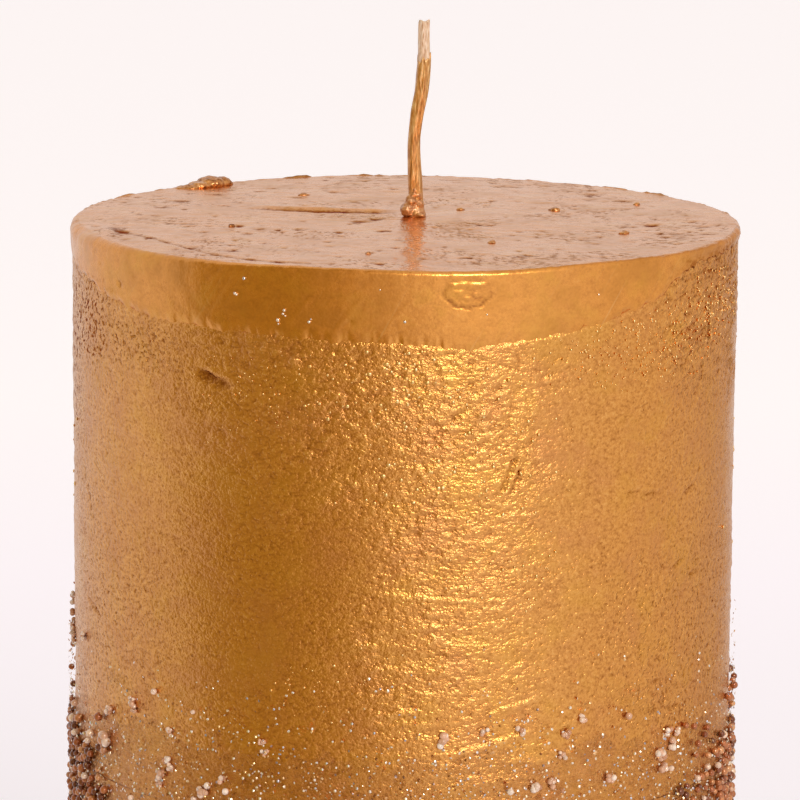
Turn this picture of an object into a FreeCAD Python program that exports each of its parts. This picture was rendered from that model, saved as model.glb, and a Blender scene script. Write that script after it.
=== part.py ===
"""A gold-lacquered pillar candle for a wedding's unity ceremony, 76 mm across and 152 mm tall.

Units are millimetres. The origin is the centre of the face that it stands on, +Z points up and -Y is the front.
From the inside out it is a white paraffin core with one wick, a steel wick tab in the core's base, a gold dip all over,
a second smooth dip over the top end, a coat of glue round the lower part, and glass beads stuck in that glue.
Each function below makes one separate piece of the candle, and the last lines write one STEP file for each.
"""

import FreeCAD, Part

import math
import os
import random

# ---- Driving dimensions ----
BODY_DIAMETER = 76.0
BODY_HEIGHT = 152.0
SMOOTH_DIP_THICKNESS = 0.3
GOLD_DIP_THICKNESS = 0.7
RIM_ROUND = 1.0

SMOOTH_DIP_DEPTH = 8.5
GLUE_TOP = 96.0
GLUE_THICKNESS = 0.2
CRUST_THICKNESS = 1.2
CRUST_TAPER = 8.0
BAND_FOOT = 1.5

WICK_DIAMETER = 1.3
WICK_COAT_THICKNESS = 0.1
WICK_BARE_TIP = 3.9

BASE_RECESS_RADIUS = 28.0
BASE_RECESS_DEPTH = 0.8
BASE_CHAMFER = 0.4
LABEL_RADIUS = 24.0
LABEL_THICKNESS = 0.2
TAB_RADIUS = 9.0
TAB_THICKNESS = 0.3
TAB_NECK_RADIUS = 1.5
TAB_NECK_HEIGHT = 8.0

# ---- Sizes worked out from them ----
BODY_RADIUS = BODY_DIAMETER / 2
GOLD_RADIUS = BODY_RADIUS - SMOOTH_DIP_THICKNESS
GOLD_TOP = BODY_HEIGHT - SMOOTH_DIP_THICKNESS
CORE_RADIUS = GOLD_RADIUS - GOLD_DIP_THICKNESS
CORE_TOP = GOLD_TOP - GOLD_DIP_THICKNESS
GLUE_RADIUS = GOLD_RADIUS + GLUE_THICKNESS
CRUST_RADIUS = GLUE_RADIUS + CRUST_THICKNESS
SMOOTH_DIP_EDGE = BODY_HEIGHT - SMOOTH_DIP_DEPTH

# ---- The wick's centre line ----
# It runs straight from the tab to the top face, where it comes out a little behind and to the right of the middle.
# Above the wax it stands up for 8 mm, leans to the right and straightens again.
WICK_EXIT_X = 1.2
WICK_EXIT_Y = 2.8
WICK_POINTS = [
    (0.0, 0.0, BASE_RECESS_DEPTH),
    (WICK_EXIT_X, WICK_EXIT_Y, BODY_HEIGHT + 1.0),
    (WICK_EXIT_X - 0.25, WICK_EXIT_Y, BODY_HEIGHT + 9.0),
    (WICK_EXIT_X + 0.5, WICK_EXIT_Y - 0.2, BODY_HEIGHT + 14.5),
    (WICK_EXIT_X + 1.05, WICK_EXIT_Y - 0.3, BODY_HEIGHT + 22.4),
]
ARC_SHARE = 0.45

# ---- Wax drops on the top face ----
# Each is its place on the face, x and y, and its radius.
SPATTERS = [
    (6.3, 7.5, 0.45),
    (17.3, 8.3, 0.6),
    (-12.0, 19.0, 0.5),
    (-19.5, -6.0, 0.4),
    (9.5, -17.5, 0.45),
    (24.5, -9.0, 0.5),
    (-4.0, -26.0, 0.35),
    (27.0, 14.0, 0.4),
]
SPATTER_FLATNESS = 0.6

# The lump of wax that ran together on the rim, at the back left.
RIM_DRIP_ANGLE = 130.5
RIM_DRIP_HALF_SIZES = (3.6, 1.5, 0.95)
RIM_DRIP_INSET = 1.9

# ---- Loose beads above the crust ----
LOOSE_BEAD_COUNT = 160
LOOSE_BEAD_RADII = (0.45, 0.7)
LOOSE_BEAD_LOWEST = GLUE_TOP + 1.0
LOOSE_BEAD_HIGHEST = 110.0
LOOSE_BEAD_SEAT_ANGLE = 48.0
LOOSE_BEAD_GAP = 0.1
LOOSE_BEAD_SEED = 12

UP = FreeCAD.Vector(0, 0, 1)
ORIGIN = FreeCAD.Vector(0, 0, 0)


# ---- Helpers ----
def cylinder(radius, low, high):
    """An upright cylinder about the candle's axis."""
    return Part.makeCylinder(radius, high - low, FreeCAD.Vector(0, 0, low), UP)


def tube(inner, outer, low, high):
    """An upright tube about the candle's axis."""
    return cylinder(outer, low, high).cut(cylinder(inner, low, high))


def round_top(solid, radius):
    """The solid with the outer edge of its top face rounded."""
    top = max(edge.CenterOfMass.z for edge in solid.Edges)
    rims = [edge for edge in solid.Edges if edge.CenterOfMass.z > top - 1e-6 and len(edge.Vertexes) == 1]
    return solid.makeFillet(radius, [max(rims, key=lambda edge: edge.Length)])


def trim_base_edge(solid, size):
    """The solid with a small flat cut on the outer edge of its base."""
    rims = [edge for edge in solid.Edges if abs(edge.CenterOfMass.z) < 1e-6 and len(edge.Vertexes) == 1]
    return solid.makeChamfer(size, [max(rims, key=lambda edge: edge.Length)])


def wick_path():
    """The wick's centre line: straight runs joined by tangent arcs as large as the runs allow."""
    points = [FreeCAD.Vector(*point) for point in WICK_POINTS]
    edges = []
    start = points[0]
    for before, corner, after in zip(points, points[1:], points[2:]):
        run_in = corner - before
        run_out = after - corner
        half_turn = run_in.getAngle(run_out) / 2
        reach = ARC_SHARE * min(run_in.Length, run_out.Length)
        into = FreeCAD.Vector(run_in).normalize()
        out = FreeCAD.Vector(run_out).normalize()
        first = corner - into * reach
        last = corner + out * reach
        radius = reach / math.tan(half_turn)
        bisector = (out - into).normalize()
        middle = corner + bisector * radius * (1 / math.cos(half_turn) - 1)
        print(f"wick bend of {math.degrees(2 * half_turn):.1f} degrees, radius {radius:.1f} mm")
        edges.append(Part.LineSegment(start, first).toShape())
        edges.append(Part.Arc(first, middle, last).toShape())
        start = last
    edges.append(Part.LineSegment(start, points[-1]).toShape())
    return Part.Wire(edges)


def along_wick(radius):
    """A round rod along the wick's centre line."""
    path = wick_path()
    points = [FreeCAD.Vector(*point) for point in WICK_POINTS]
    section = Part.Wire(Part.makeCircle(radius, points[0], points[1] - points[0]))
    rod = path.makePipeShell([section], True, False)
    expected = math.pi * radius**2 * path.Length
    print(f"rod of radius {radius}: volume {rod.Volume:.2f}, section times length {expected:.2f} mm3")
    return rod


def slab(low, high):
    """Everything near the candle from one height to another."""
    half = BODY_DIAMETER
    return Part.makeBox(2 * half, 2 * half, high - low, FreeCAD.Vector(-half, -half, low))


# ---- The wick and its metal tab ----
def make_wick():
    """The braided cotton wick, in one length from the tab to the trimmed tip."""
    return along_wick(WICK_DIAMETER / 2)


def make_wick_coat(wick):
    """The gold wax on the wick, from the top face to a little below the bare tip."""
    tip = WICK_POINTS[-1][2]
    coated = along_wick(WICK_DIAMETER / 2 + WICK_COAT_THICKNESS)
    return coated.common(slab(BODY_HEIGHT, tip - WICK_BARE_TIP)).cut(wick)


def make_wick_tab(wick):
    """The steel tab that holds the wick's lower end: a thin disc with a neck crimped round the wick."""
    low = BASE_RECESS_DEPTH
    disc = cylinder(TAB_RADIUS, low, low + TAB_THICKNESS)
    neck = cylinder(TAB_NECK_RADIUS, low, low + TAB_NECK_HEIGHT)
    return disc.fuse(neck).cut(wick).removeSplitter()


def make_wick_foot(wick_rod):
    """The wax that drew up round the wick where it leaves the top, with a round bead of it on the left."""
    base_radius = 1.45
    height = 3.0
    neck_radius = WICK_DIAMETER / 2 + WICK_COAT_THICKNESS + 0.05
    waist = FreeCAD.Vector(neck_radius + 0.18, 0, height * 0.42)
    outline = [
        Part.LineSegment(ORIGIN, FreeCAD.Vector(base_radius, 0, 0)),
        Part.Arc(FreeCAD.Vector(base_radius, 0, 0), waist, FreeCAD.Vector(neck_radius, 0, height)),
        Part.LineSegment(FreeCAD.Vector(neck_radius, 0, height), FreeCAD.Vector(0, 0, height)),
        Part.LineSegment(FreeCAD.Vector(0, 0, height), ORIGIN),
    ]
    face = Part.Face(Part.Wire([piece.toShape() for piece in outline]))
    cone = face.revolve(ORIGIN, UP, 360)
    bead = Part.makeSphere(1.0, FreeCAD.Vector(-0.95, -0.25, 1.0))
    foot = cone.fuse(bead)
    foot.translate(FreeCAD.Vector(WICK_EXIT_X, WICK_EXIT_Y, BODY_HEIGHT))
    return foot.common(slab(BODY_HEIGHT, BODY_HEIGHT + height)).cut(wick_rod)


# ---- The wax body ----
def make_wax_core(wick, wick_tab):
    """The white paraffin body, cast round the wick and its tab, with a shallow recess in the base."""
    body = round_top(cylinder(CORE_RADIUS, 0, CORE_TOP), RIM_ROUND)
    recess = cylinder(BASE_RECESS_RADIUS, 0, BASE_RECESS_DEPTH)
    return body.cut(recess).cut(wick_tab).cut(wick)


def make_gold_dip(wick):
    """The gold wax over the whole side and top, trimmed flush with the base."""
    outside = trim_base_edge(round_top(cylinder(GOLD_RADIUS, 0, GOLD_TOP), RIM_ROUND), BASE_CHAMFER)
    inside = round_top(cylinder(CORE_RADIUS, 0, CORE_TOP), RIM_ROUND)
    return outside.cut(inside).cut(wick)


def make_smooth_dip(wick):
    """The second dip, which leaves the top face and the highest part of the side smooth."""
    outside = round_top(cylinder(BODY_RADIUS, SMOOTH_DIP_EDGE, BODY_HEIGHT), RIM_ROUND)
    inside = round_top(cylinder(GOLD_RADIUS, SMOOTH_DIP_EDGE, GOLD_TOP), RIM_ROUND)
    return outside.cut(inside).cut(wick)


# ---- Wax that ran or splashed ----
def make_rim_drip():
    """The long low lump of wax on the rim at the back left."""
    lump = Part.makeSphere(1.0)
    stretch = FreeCAD.Matrix()
    stretch.scale(*RIM_DRIP_HALF_SIZES)
    lump = lump.transformGeometry(stretch)
    lump = lump.common(slab(0, BODY_HEIGHT))
    lump.translate(FreeCAD.Vector(0, -(BODY_RADIUS - RIM_DRIP_INSET), BODY_HEIGHT))
    lump.rotate(ORIGIN, UP, RIM_DRIP_ANGLE + 90)
    return lump


def make_spatters():
    """The small round drops of wax on the top face, as separate low domes."""
    drops = []
    for x, y, radius in SPATTERS:
        drop = Part.makeSphere(radius)
        flatten = FreeCAD.Matrix()
        flatten.scale(1, 1, SPATTER_FLATNESS)
        drop = drop.transformGeometry(flatten).common(slab(0, BODY_HEIGHT))
        drop.translate(FreeCAD.Vector(x, y, BODY_HEIGHT))
        drops.append(drop)
    return Part.makeCompound(drops)


# ---- The base label ----
def make_label():
    """The plain round paper label in the base recess, over the wick tab."""
    return cylinder(LABEL_RADIUS, BASE_RECESS_DEPTH - LABEL_THICKNESS, BASE_RECESS_DEPTH)


# ---- The glued band of beads ----
def make_glue():
    """The coat of clear glue round the lower part."""
    return tube(GOLD_RADIUS, GLUE_RADIUS, BAND_FOOT, GLUE_TOP)


def make_bead_crust():
    """The layer of packed glass beads in the glue, thinning towards its upper edge."""
    low = BAND_FOOT
    shoulder = GLUE_TOP - CRUST_TAPER
    outline = [
        FreeCAD.Vector(GLUE_RADIUS, 0, low),
        FreeCAD.Vector(CRUST_RADIUS, 0, low),
        FreeCAD.Vector(CRUST_RADIUS, 0, shoulder),
        FreeCAD.Vector(GLUE_RADIUS + CRUST_THICKNESS / 4, 0, GLUE_TOP),
        FreeCAD.Vector(GLUE_RADIUS, 0, GLUE_TOP),
    ]
    face = Part.Face(Part.makePolygon(outline + outline[:1]))
    return face.revolve(ORIGIN, UP, 360)


def make_loose_bead(radius, centre):
    """One glass bead: a sphere with a small flat seat towards the candle's axis."""
    outward = FreeCAD.Vector(centre.x, centre.y, 0)
    return Part.makeSphere(radius, centre, outward, -LOOSE_BEAD_SEAT_ANGLE, 90, 360)


def make_loose_beads():
    """The single glass beads above the crust, each seated on the gold wax and clear of the others."""
    dice = random.Random(LOOSE_BEAD_SEED)
    seat = math.sin(math.radians(LOOSE_BEAD_SEAT_ANGLE))
    placed = []
    while len(placed) < LOOSE_BEAD_COUNT:
        radius = dice.uniform(*LOOSE_BEAD_RADII)
        angle = dice.uniform(0, 2 * math.pi)
        rise = min(dice.random(), dice.random())
        height = LOOSE_BEAD_LOWEST + rise * (LOOSE_BEAD_HIGHEST - LOOSE_BEAD_LOWEST)
        out = GOLD_RADIUS + seat * radius
        centre = FreeCAD.Vector(out * math.cos(angle), out * math.sin(angle), height)
        if all((centre - other).Length > radius + size + LOOSE_BEAD_GAP for other, size in placed):
            placed.append((centre, radius))
    return Part.makeCompound([make_loose_bead(radius, centre) for centre, radius in placed])


def make_parts():
    """Every piece of the candle, by name."""
    wick = make_wick()
    coated_wick = along_wick(WICK_DIAMETER / 2 + WICK_COAT_THICKNESS)
    wick_tab = make_wick_tab(wick)
    return {
        "wax_core": make_wax_core(wick, wick_tab),
        "gold_dip": make_gold_dip(wick),
        "smooth_top_dip": make_smooth_dip(wick),
        "wick": wick,
        "wick_coat": make_wick_coat(wick),
        "wick_foot": make_wick_foot(coated_wick),
        "wick_tab": wick_tab,
        "base_label": make_label(),
        "rim_drip": make_rim_drip(),
        "wax_spatters": make_spatters(),
        "glue_coat": make_glue(),
        "bead_crust": make_bead_crust(),
        "loose_beads": make_loose_beads(),
    }


os.makedirs("parts", exist_ok=True)
for name, shape in make_parts().items():
    if not shape.isValid():
        raise ValueError(f"{name} isn't a valid solid")
    shape.exportStep(f"parts/{name}.step")
    print(f"{name}: {len(shape.Solids)} solid(s), {shape.Volume:.1f} mm3")
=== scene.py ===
# %% [markdown]
# # A gold unity candle
#
# A pillar candle of white wax, dipped in metallic gold wax, with a cotton wick and a band of glass beads
# and glitter glued round its lower part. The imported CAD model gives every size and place. This script puts
# the finished surfaces round it: skins of wax whose relief is real geometry, a grooved wick, thousands of
# small beads, and the materials. Shapes are worked out in millimetres and turned into metres when a mesh is
# written.

# %% Load the frame
import math
import random

import bmesh
import bpy
import numpy as np
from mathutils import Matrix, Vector, noise


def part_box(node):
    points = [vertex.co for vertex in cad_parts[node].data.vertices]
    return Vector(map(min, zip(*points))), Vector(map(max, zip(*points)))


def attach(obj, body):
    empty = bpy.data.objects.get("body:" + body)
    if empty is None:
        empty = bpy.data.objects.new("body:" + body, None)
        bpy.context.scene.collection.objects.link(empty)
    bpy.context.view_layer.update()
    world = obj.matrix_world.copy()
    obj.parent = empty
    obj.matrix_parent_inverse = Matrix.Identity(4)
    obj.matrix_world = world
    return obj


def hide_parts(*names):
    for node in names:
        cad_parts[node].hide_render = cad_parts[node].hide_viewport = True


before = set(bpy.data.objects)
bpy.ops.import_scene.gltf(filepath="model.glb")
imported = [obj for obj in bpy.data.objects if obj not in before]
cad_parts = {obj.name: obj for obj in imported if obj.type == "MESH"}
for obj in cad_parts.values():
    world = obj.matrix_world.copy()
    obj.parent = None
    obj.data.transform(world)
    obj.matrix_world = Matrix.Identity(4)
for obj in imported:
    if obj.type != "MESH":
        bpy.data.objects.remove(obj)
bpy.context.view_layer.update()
MM = 0.001
BODY = "root"

BODY_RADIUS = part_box("smooth_top_dip")[1].x / MM
BODY_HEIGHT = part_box("smooth_top_dip")[1].z / MM
GOLD_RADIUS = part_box("gold_dip")[1].x / MM
CORE_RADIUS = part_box("wax_core")[1].x / MM
GLUE_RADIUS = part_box("glue_coat")[1].x / MM
GLUE_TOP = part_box("glue_coat")[1].z / MM
BAND_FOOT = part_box("bead_crust")[0].z / MM
WICK_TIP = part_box("wick")[1].z / MM
COAT_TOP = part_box("wick_coat")[1].z / MM
print(f"body {2 * BODY_RADIUS:.1f} mm across, {BODY_HEIGHT:.1f} mm tall, wick tip at {WICK_TIP:.1f} mm")


# %% [markdown]
# ## Small helpers
#
# Colours are written as the hex values that a colour picker shows, which are sRGB, and the shaders want
# linear light, so one function turns one into the other. One function adds a node to any tree, with its
# settings and its links.

# %% Helpers
def linear(hex_color):
    """An sRGB colour such as "#c98a3a" as linear red, green and blue, with alpha 1."""
    channels = [int(hex_color[i:i + 2], 16) / 255 for i in (1, 3, 5)]
    return tuple(c / 12.92 if c <= 0.04045 else ((c + 0.055) / 1.055) ** 2.4 for c in channels) + (1.0,)


def add(tree, kind, *values, **settings):
    """Adds a node. Its inputs take the values in order, and a dict names or numbers the rest of them. A
    value is a number, a socket, or a node whose first output feeds the input. A short kind means a shader
    node."""
    node = tree.nodes.new(kind if "Node" in kind else "ShaderNode" + kind)
    for name, value in settings.items():
        setattr(node, name, value)
    inputs = dict(enumerate(value for value in values if not isinstance(value, dict)))
    for value in values:
        if isinstance(value, dict):
            inputs.update(value)
    for key, value in inputs.items():
        socket = first_socket(value)
        if isinstance(socket, bpy.types.NodeSocket):
            tree.links.new(socket, node.inputs[key])
        else:
            node.inputs[key].default_value = socket
    return node


def first_socket(value):
    """A node's first output. Anything else comes back as it is."""
    return value.outputs[0] if isinstance(value, bpy.types.Node) else value


def feed(tree, shader, **sources):
    """Links nodes or sockets to the shader's inputs of these names."""
    for name, source in sources.items():
        tree.links.new(first_socket(source), shader.inputs[name.replace("_", " ")])


def set_ramp(ramp, stops):
    """Gives a colour ramp node these stops, each a position and a hex colour."""
    elements = ramp.color_ramp.elements
    while len(elements) > 1:
        elements.remove(elements[-1])
    elements[0].position = stops[0][0]
    elements[0].color = linear(stops[0][1])
    for position, color in stops[1:]:
        elements.new(position).color = linear(color)
    return ramp


def new_material(name, **values):
    """A material with one Principled shader. The values go on the shader's own sockets."""
    material = bpy.data.materials.new(name)
    material.use_nodes = True
    tree = material.node_tree
    shader = tree.nodes["Principled BSDF"]
    for key, value in values.items():
        shader.inputs[key.replace("_", " ")].default_value = value
    place = add(tree, "TexCoord").outputs["Object"]
    in_mm = add(tree, "VectorMath", place, {3: 1 / MM}, operation="SCALE")
    return material, tree, shader, in_mm


def mottled(name, repeats, detail, stops, bump=0.0, rough=None, noise_values=None, **values):
    """A material whose colour follows one noise, and its roughness and bump too where they are given.
    Repeats is how often the noise repeats in a millimetre along x, y and z. Bump is a depth in millimetres,
    and rough two ends."""
    material, tree, shader, in_mm = new_material(name, **values)
    place = add(tree, "VectorMath", in_mm, repeats, operation="MULTIPLY")
    cloud = add(tree, "TexNoise", {"Vector": place, "Scale": 1.0, "Detail": detail, **(noise_values or {})})
    feed(tree, shader, Base_Color=set_ramp(add(tree, "ValToRGB", cloud), stops))
    if rough:
        feed(tree, shader, Roughness=add(tree, "MapRange", cloud, 0.3, 0.7, *rough))
    if bump:
        feed(tree, shader, Normal=add(tree, "Bump", {"Distance": bump * MM, "Height": cloud}))
    return material


def grid_faces(rows, columns, downwards=False):
    """Faces of a wall of points that closes on itself, row after row, facing outwards."""
    faces = []
    for row in range(rows - 1):
        for column in range(columns):
            after = (column + 1) % columns
            here, above = row * columns, (row + 1) * columns
            if downwards:
                faces.append((here + column, above + column, above + after, here + after))
            else:
                faces.append((here + column, here + after, above + after, above + column))
    return faces


def write_piece(name, points, faces, material):
    """Makes a smooth-shaded object from points in millimetres."""
    mesh = bpy.data.meshes.new(name)
    mesh.from_pydata([tuple(point) for point in np.asarray(points) * MM], [], faces)
    mesh.materials.append(material)
    mesh.shade_smooth()
    piece = bpy.data.objects.new(name, mesh)
    bpy.context.scene.collection.objects.link(piece)
    return piece


def merge_doubles(piece, distance=0.002):
    """Joins points that lie together, which closes seams and poles."""
    work = bmesh.new()
    work.from_mesh(piece.data)
    bmesh.ops.remove_doubles(work, verts=work.verts, dist=distance * MM)
    work.to_mesh(piece.data)
    work.free()


def keep_result(piece):
    """Turns what the piece's modifiers make into its own plain mesh, and returns that."""
    evaluated = piece.evaluated_get(bpy.context.evaluated_depsgraph_get())
    mesh = bpy.data.meshes.new_from_object(evaluated)
    mesh.name = piece.name
    piece.modifiers.clear()
    piece.data = mesh
    return mesh


def tell(piece, name, values):
    """Stores a number at each point of the mesh, which the material or a later step reads by this name."""
    piece.data.attributes.new(name, "FLOAT", "POINT").data.foreach_set("value", values)


def settle(piece, slot, *nodes):
    """Puts a finished piece in the frame, in place of these CAD nodes, and prints its size."""
    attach(piece, BODY)
    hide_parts(*nodes)
    triangles = sum(len(face.vertices) - 2 for face in piece.data.polygons)
    print(f"{piece.name}: {triangles} triangles")


# %% [markdown]
# ## The camera
#
# A long lens from half a metre away, a little above the rim, so that the top face shows as a thin ellipse.
# It looks slightly down, and it is turned by a fraction of a degree, as a camera on a tripod often is.

# %% Camera
CAMERA_DISTANCE = 520.0
CAMERA_RISE = 8.24
CAMERA_DIP = 10.51
CAMERA_ROLL = 0.4
CAMERA_SIDE = -0.46
LENS = 205.7

camera_data = bpy.data.cameras.new("camera")
camera_data.lens = LENS
camera_data.sensor_width = 36.0
camera_data.clip_start = 0.01
camera = bpy.data.objects.new("camera", camera_data)
bpy.context.scene.collection.objects.link(camera)
rise = math.radians(CAMERA_RISE)
camera.location = (
    CAMERA_SIDE * MM,
    -CAMERA_DISTANCE * math.cos(rise) * MM,
    (BODY_HEIGHT + CAMERA_DISTANCE * math.sin(rise)) * MM,
)
camera.rotation_euler = (math.radians(90 - CAMERA_DIP), 0, 0)
camera.rotation_euler.rotate_axis("Z", math.radians(CAMERA_ROLL))
bpy.context.scene.camera = camera
print(f"camera {CAMERA_DISTANCE:.0f} mm away, {CAMERA_RISE} degrees above the rim")

# %% [markdown]
# ## Floor and light
#
# Metallic wax shows its surroundings, so the light is mostly a room: white all round, brighter at the front
# right where the softbox stands, and darker at the front left, where nothing stands. The room's brightness
# is a ramp round the compass. The floor is pale card with a faint even glow, and its colour is painted
# paler towards the back as painted light. It isn't seen in the wax, which then shows the same room at every
# height.

# %% Floor and light
# the room's colour by compass: degrees to the right of the front
ROOM = [
    (-180, "#e6e3e1"), (-84, "#e8e4e1"), (-74, "#b6a160"), (-38, "#b19b51"), (-22, "#c9b281"),
    (-4, "#dccdb4"), (4, "#e6dccf"), (13, "#fffaf2"), (38, "#fffaf2"), (52, "#f6f0ea"), (85, "#f2e6cf"),
    (118, "#e8dcc3"), (148, "#cfb592"), (166, "#e6e3e1"), (180, "#e6e3e1"),
]

floor_material, tree, shader, in_mm = new_material("pale_card", Roughness=0.8)
behind = add(tree, "SeparateXYZ", in_mm).outputs[1]
# a sheet of matt card whose colour is painted paler from here to there behind the candle, as painted light,
# in millimetres
CARD_NEAR, CARD_FAR = 280.0, 700.0
near = add(tree, "MapRange", behind, CARD_NEAR, CARD_FAR)
card = set_ramp(add(tree, "ValToRGB", near), [(0.0, "#e9e8f0"), (0.5, "#f4f2fc"), (1.0, "#fafaff")])
feed(tree, shader, Base_Color=card)
shader.inputs["Emission Color"].default_value = linear("#e1e1ff")
shader.inputs["Emission Strength"].default_value = 0.27
bpy.ops.mesh.primitive_plane_add(size=8.0)
floor = bpy.context.object
floor.name = "floor"
floor.data.materials.append(floor_material)
floor.visible_glossy = False

ROOM_STRENGTH = 1.05
world = bpy.data.worlds.new("room")
bpy.context.scene.world = world
world.use_nodes = True
tree = world.node_tree
direction = add(tree, "TexCoord").outputs["Generated"]
parts = add(tree, "SeparateXYZ", direction)
ahead = add(tree, "Math", parts.outputs[1], -1.0, operation="MULTIPLY")
compass = add(tree, "Math", parts.outputs[0], ahead, operation="ARCTAN2")
share = add(tree, "MapRange", compass, -math.pi, math.pi)
walls = set_ramp(add(tree, "ValToRGB", share), [((a + 180) / 360, color) for a, color in ROOM])
tree.links.new(walls.outputs[0], tree.nodes["Background"].inputs["Color"])
tree.nodes["Background"].inputs["Strength"].default_value = ROOM_STRENGTH


AIM_HEIGHT = 130.0


def softbox(name, azimuth, elevation, distance, width, height, power):
    """A rectangular studio light that faces the candle. The azimuth is in degrees to the right of the
    front."""
    data = bpy.data.lights.new(name, "AREA")
    data.shape = "RECTANGLE"
    data.size, data.size_y = width, height
    data.energy = power
    data.color = linear("#fff6ea")[:3]
    lamp = bpy.data.objects.new(name, data)
    bpy.context.scene.collection.objects.link(lamp)
    a, e = math.radians(azimuth), math.radians(elevation)
    aim = Vector((math.sin(a) * math.cos(e), -math.cos(a) * math.cos(e), math.sin(e)))
    lamp.location = Vector((0, 0, AIM_HEIGHT * MM)) + aim * distance
    lamp.rotation_euler = aim.to_track_quat("Z", "Y").to_euler()
    lamp.visible_camera = False


softbox("front_softbox", azimuth=22, elevation=24, distance=1.1, width=0.25, height=0.25, power=4.2)
bpy.context.scene.view_settings.view_transform = "Standard"


# %% [markdown]
# ## Gold wax
#
# The dip is paraffin with fine brass-coloured mica and metal pigment. The pigment shines as a metal does,
# and the wax over it is a thin clear coat that adds a paler sheen where light grazes it. The body has set
# in a hammered skin with a sandy grain, so the eye sees many small glints among hollows. The second dip
# over the top ran smooth: soft broad reflections, a few pits, and faint streaks where it drained. One
# recipe makes both, from the real sizes of the grain and the lumps. It paints shade into the colour too:
# where the mesh, the bumps or the pits say that the skin is low, the wax turns red-brown and its coat and
# the tint of its reflections fade, as painted shade, and on the peaks it turns paler, as a painted
# highlight.

# %% Gold wax materials
PIT_SIZE = 0.5


def gold_wax(name, tones, cloud_tone, cloud_size, roughness, grain, lumps, knob_share, streaks=0.0,
             metallic=1.0):
    """Metallic wax. Tones run from hollow to peak: painted shade in the hollows and painted highlight on the
    peaks. Grain and lumps are each a size and a depth in millimetres."""
    material, tree, shader, in_mm = new_material(
        name, Metallic=metallic, Coat_Weight=0.5, Coat_Roughness=0.22, Coat_IOR=1.5)
    bold = add(tree, "Attribute", attribute_name="bold").outputs["Fac"]
    relief = add(tree, "Attribute", attribute_name="relief").outputs["Fac"]
    pitted = add(tree, "Attribute", attribute_name="pitted").outputs["Fac"]
    low = add(tree, "VectorMath", in_mm, (1.0, 1.0, 1.6), operation="MULTIPLY")
    sand = add(tree, "TexNoise", {"Vector": in_mm, "Scale": 1 / grain[0], "Detail": 1.5})
    knobs = add(tree, "TexNoise", {"Vector": low, "Scale": 1 / lumps[0], "Detail": 2.5})
    clouds = add(tree, "TexNoise", {"Vector": in_mm, "Scale": 1 / cloud_size, "Detail": 5.0,
                                    "Roughness": 0.65})
    hues = add(tree, "SeparateXYZ", clouds.outputs["Color"])
    pits = add(tree, "TexNoise", {"Vector": in_mm, "Scale": 1 / PIT_SIZE, "Detail": 1.0})
    pit_share = add(tree, "MapRange", pits, 0.55, 0.63, 0.0, pitted)
    # the noises that raise the bumps colour them too, paler on their peaks and darker between them, and low
    # relief and pits darken the colour further: painted highlight and painted shade
    knob_shading = add(tree, "MapRange", knobs, 0.25, 0.75, -knob_share, knob_share)
    sand_shading = add(tree, "MapRange", sand, 0.25, 0.75, -knob_share, knob_share)
    mottle = add(tree, "Math", knob_shading, sand_shading, operation="ADD")
    height = add(tree, "Math", relief, 0.9, mottle, operation="MULTIPLY_ADD")
    pit_shaded = add(tree, "Math", pit_share, -0.42, height, operation="MULTIPLY_ADD")
    level = add(tree, "Math", pit_shaded, 0.5, operation="ADD")
    tone = set_ramp(add(tree, "ValToRGB", level), [
        (0.10, tones[0]), (0.36, tones[1]), (0.54, tones[2]), (0.85, tones[3])])
    cloud_share = add(tree, "MapRange", clouds, 0.47, 0.66, 0.0, 0.6)
    cloudy = add(tree, "Mix", cloud_share, {6: tone, 7: linear(cloud_tone)}, data_type="RGBA")
    yellow_share = add(tree, "MapRange", hues.outputs[2], 0.50, 0.66, 0.0, 0.35)
    yellowed = add(tree, "Mix", yellow_share, {6: cloudy.outputs[2], 7: linear("#dfa340")}, data_type="RGBA")
    # faint pale lines that lean to the right, where the dip drained
    run = add(tree, "VectorMath", in_mm, (0.50, 0.0, 0.87), operation="DOT_PRODUCT")
    aside = add(tree, "VectorMath", in_mm, (1.9, 0.0, -1.1), operation="DOT_PRODUCT")
    slow_run = add(tree, "Math", run.outputs["Value"], 0.045, operation="MULTIPLY")
    drained = add(tree, "CombineXYZ", aside.outputs["Value"], slow_run)
    streak = add(tree, "TexNoise", {"Vector": drained, "Scale": 1.0, "Detail": 2.0})
    streak_share = add(tree, "MapRange", streak, 0.64, 0.76, 0.0, streaks)
    color = add(tree, "Mix", streak_share, {6: yellowed.outputs[2], 7: linear("#f6cf94")}, data_type="RGBA")
    feed(tree, shader, Base_Color=color.outputs[2])
    # the reflections in the hollows are tinted dark, so the painted shade stays in them at a low angle of
    # view too
    hollow_shade_tint = set_ramp(add(tree, "ValToRGB", level), [(0.12, "#a06a44"), (0.42, "#fff0e6")])
    feed(tree, shader, Specular_Tint=hollow_shade_tint)
    # the clear coat thins in the hollows and thickens on the peaks: painted shade and painted sheen
    sheen = add(tree, "MapRange", level, 0.1, 0.45, 0.04, 0.5)
    feed(tree, shader, Coat_Weight=sheen)
    rough = add(tree, "MapRange", clouds, 0.3, 0.7, roughness - 0.05, roughness + 0.07)
    feed(tree, shader, Roughness=rough)
    knob_force = add(tree, "MapRange", bold, {3: 0.62, 4: 1.2}, clamp=False)
    knob_height = add(tree, "Math", knobs, knob_force, operation="MULTIPLY")
    pitted_height = add(tree, "Math", pit_share, -0.8, knob_height, operation="MULTIPLY_ADD")
    lump_bump = add(tree, "Bump", {"Distance": lumps[1] * MM, "Height": pitted_height})
    bump = add(tree, "Bump", {"Distance": grain[1] * MM, "Height": sand, "Normal": lump_bump})
    feed(tree, shader, Normal=bump)
    feed(tree, shader, Coat_Normal=bump)
    return material


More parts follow.
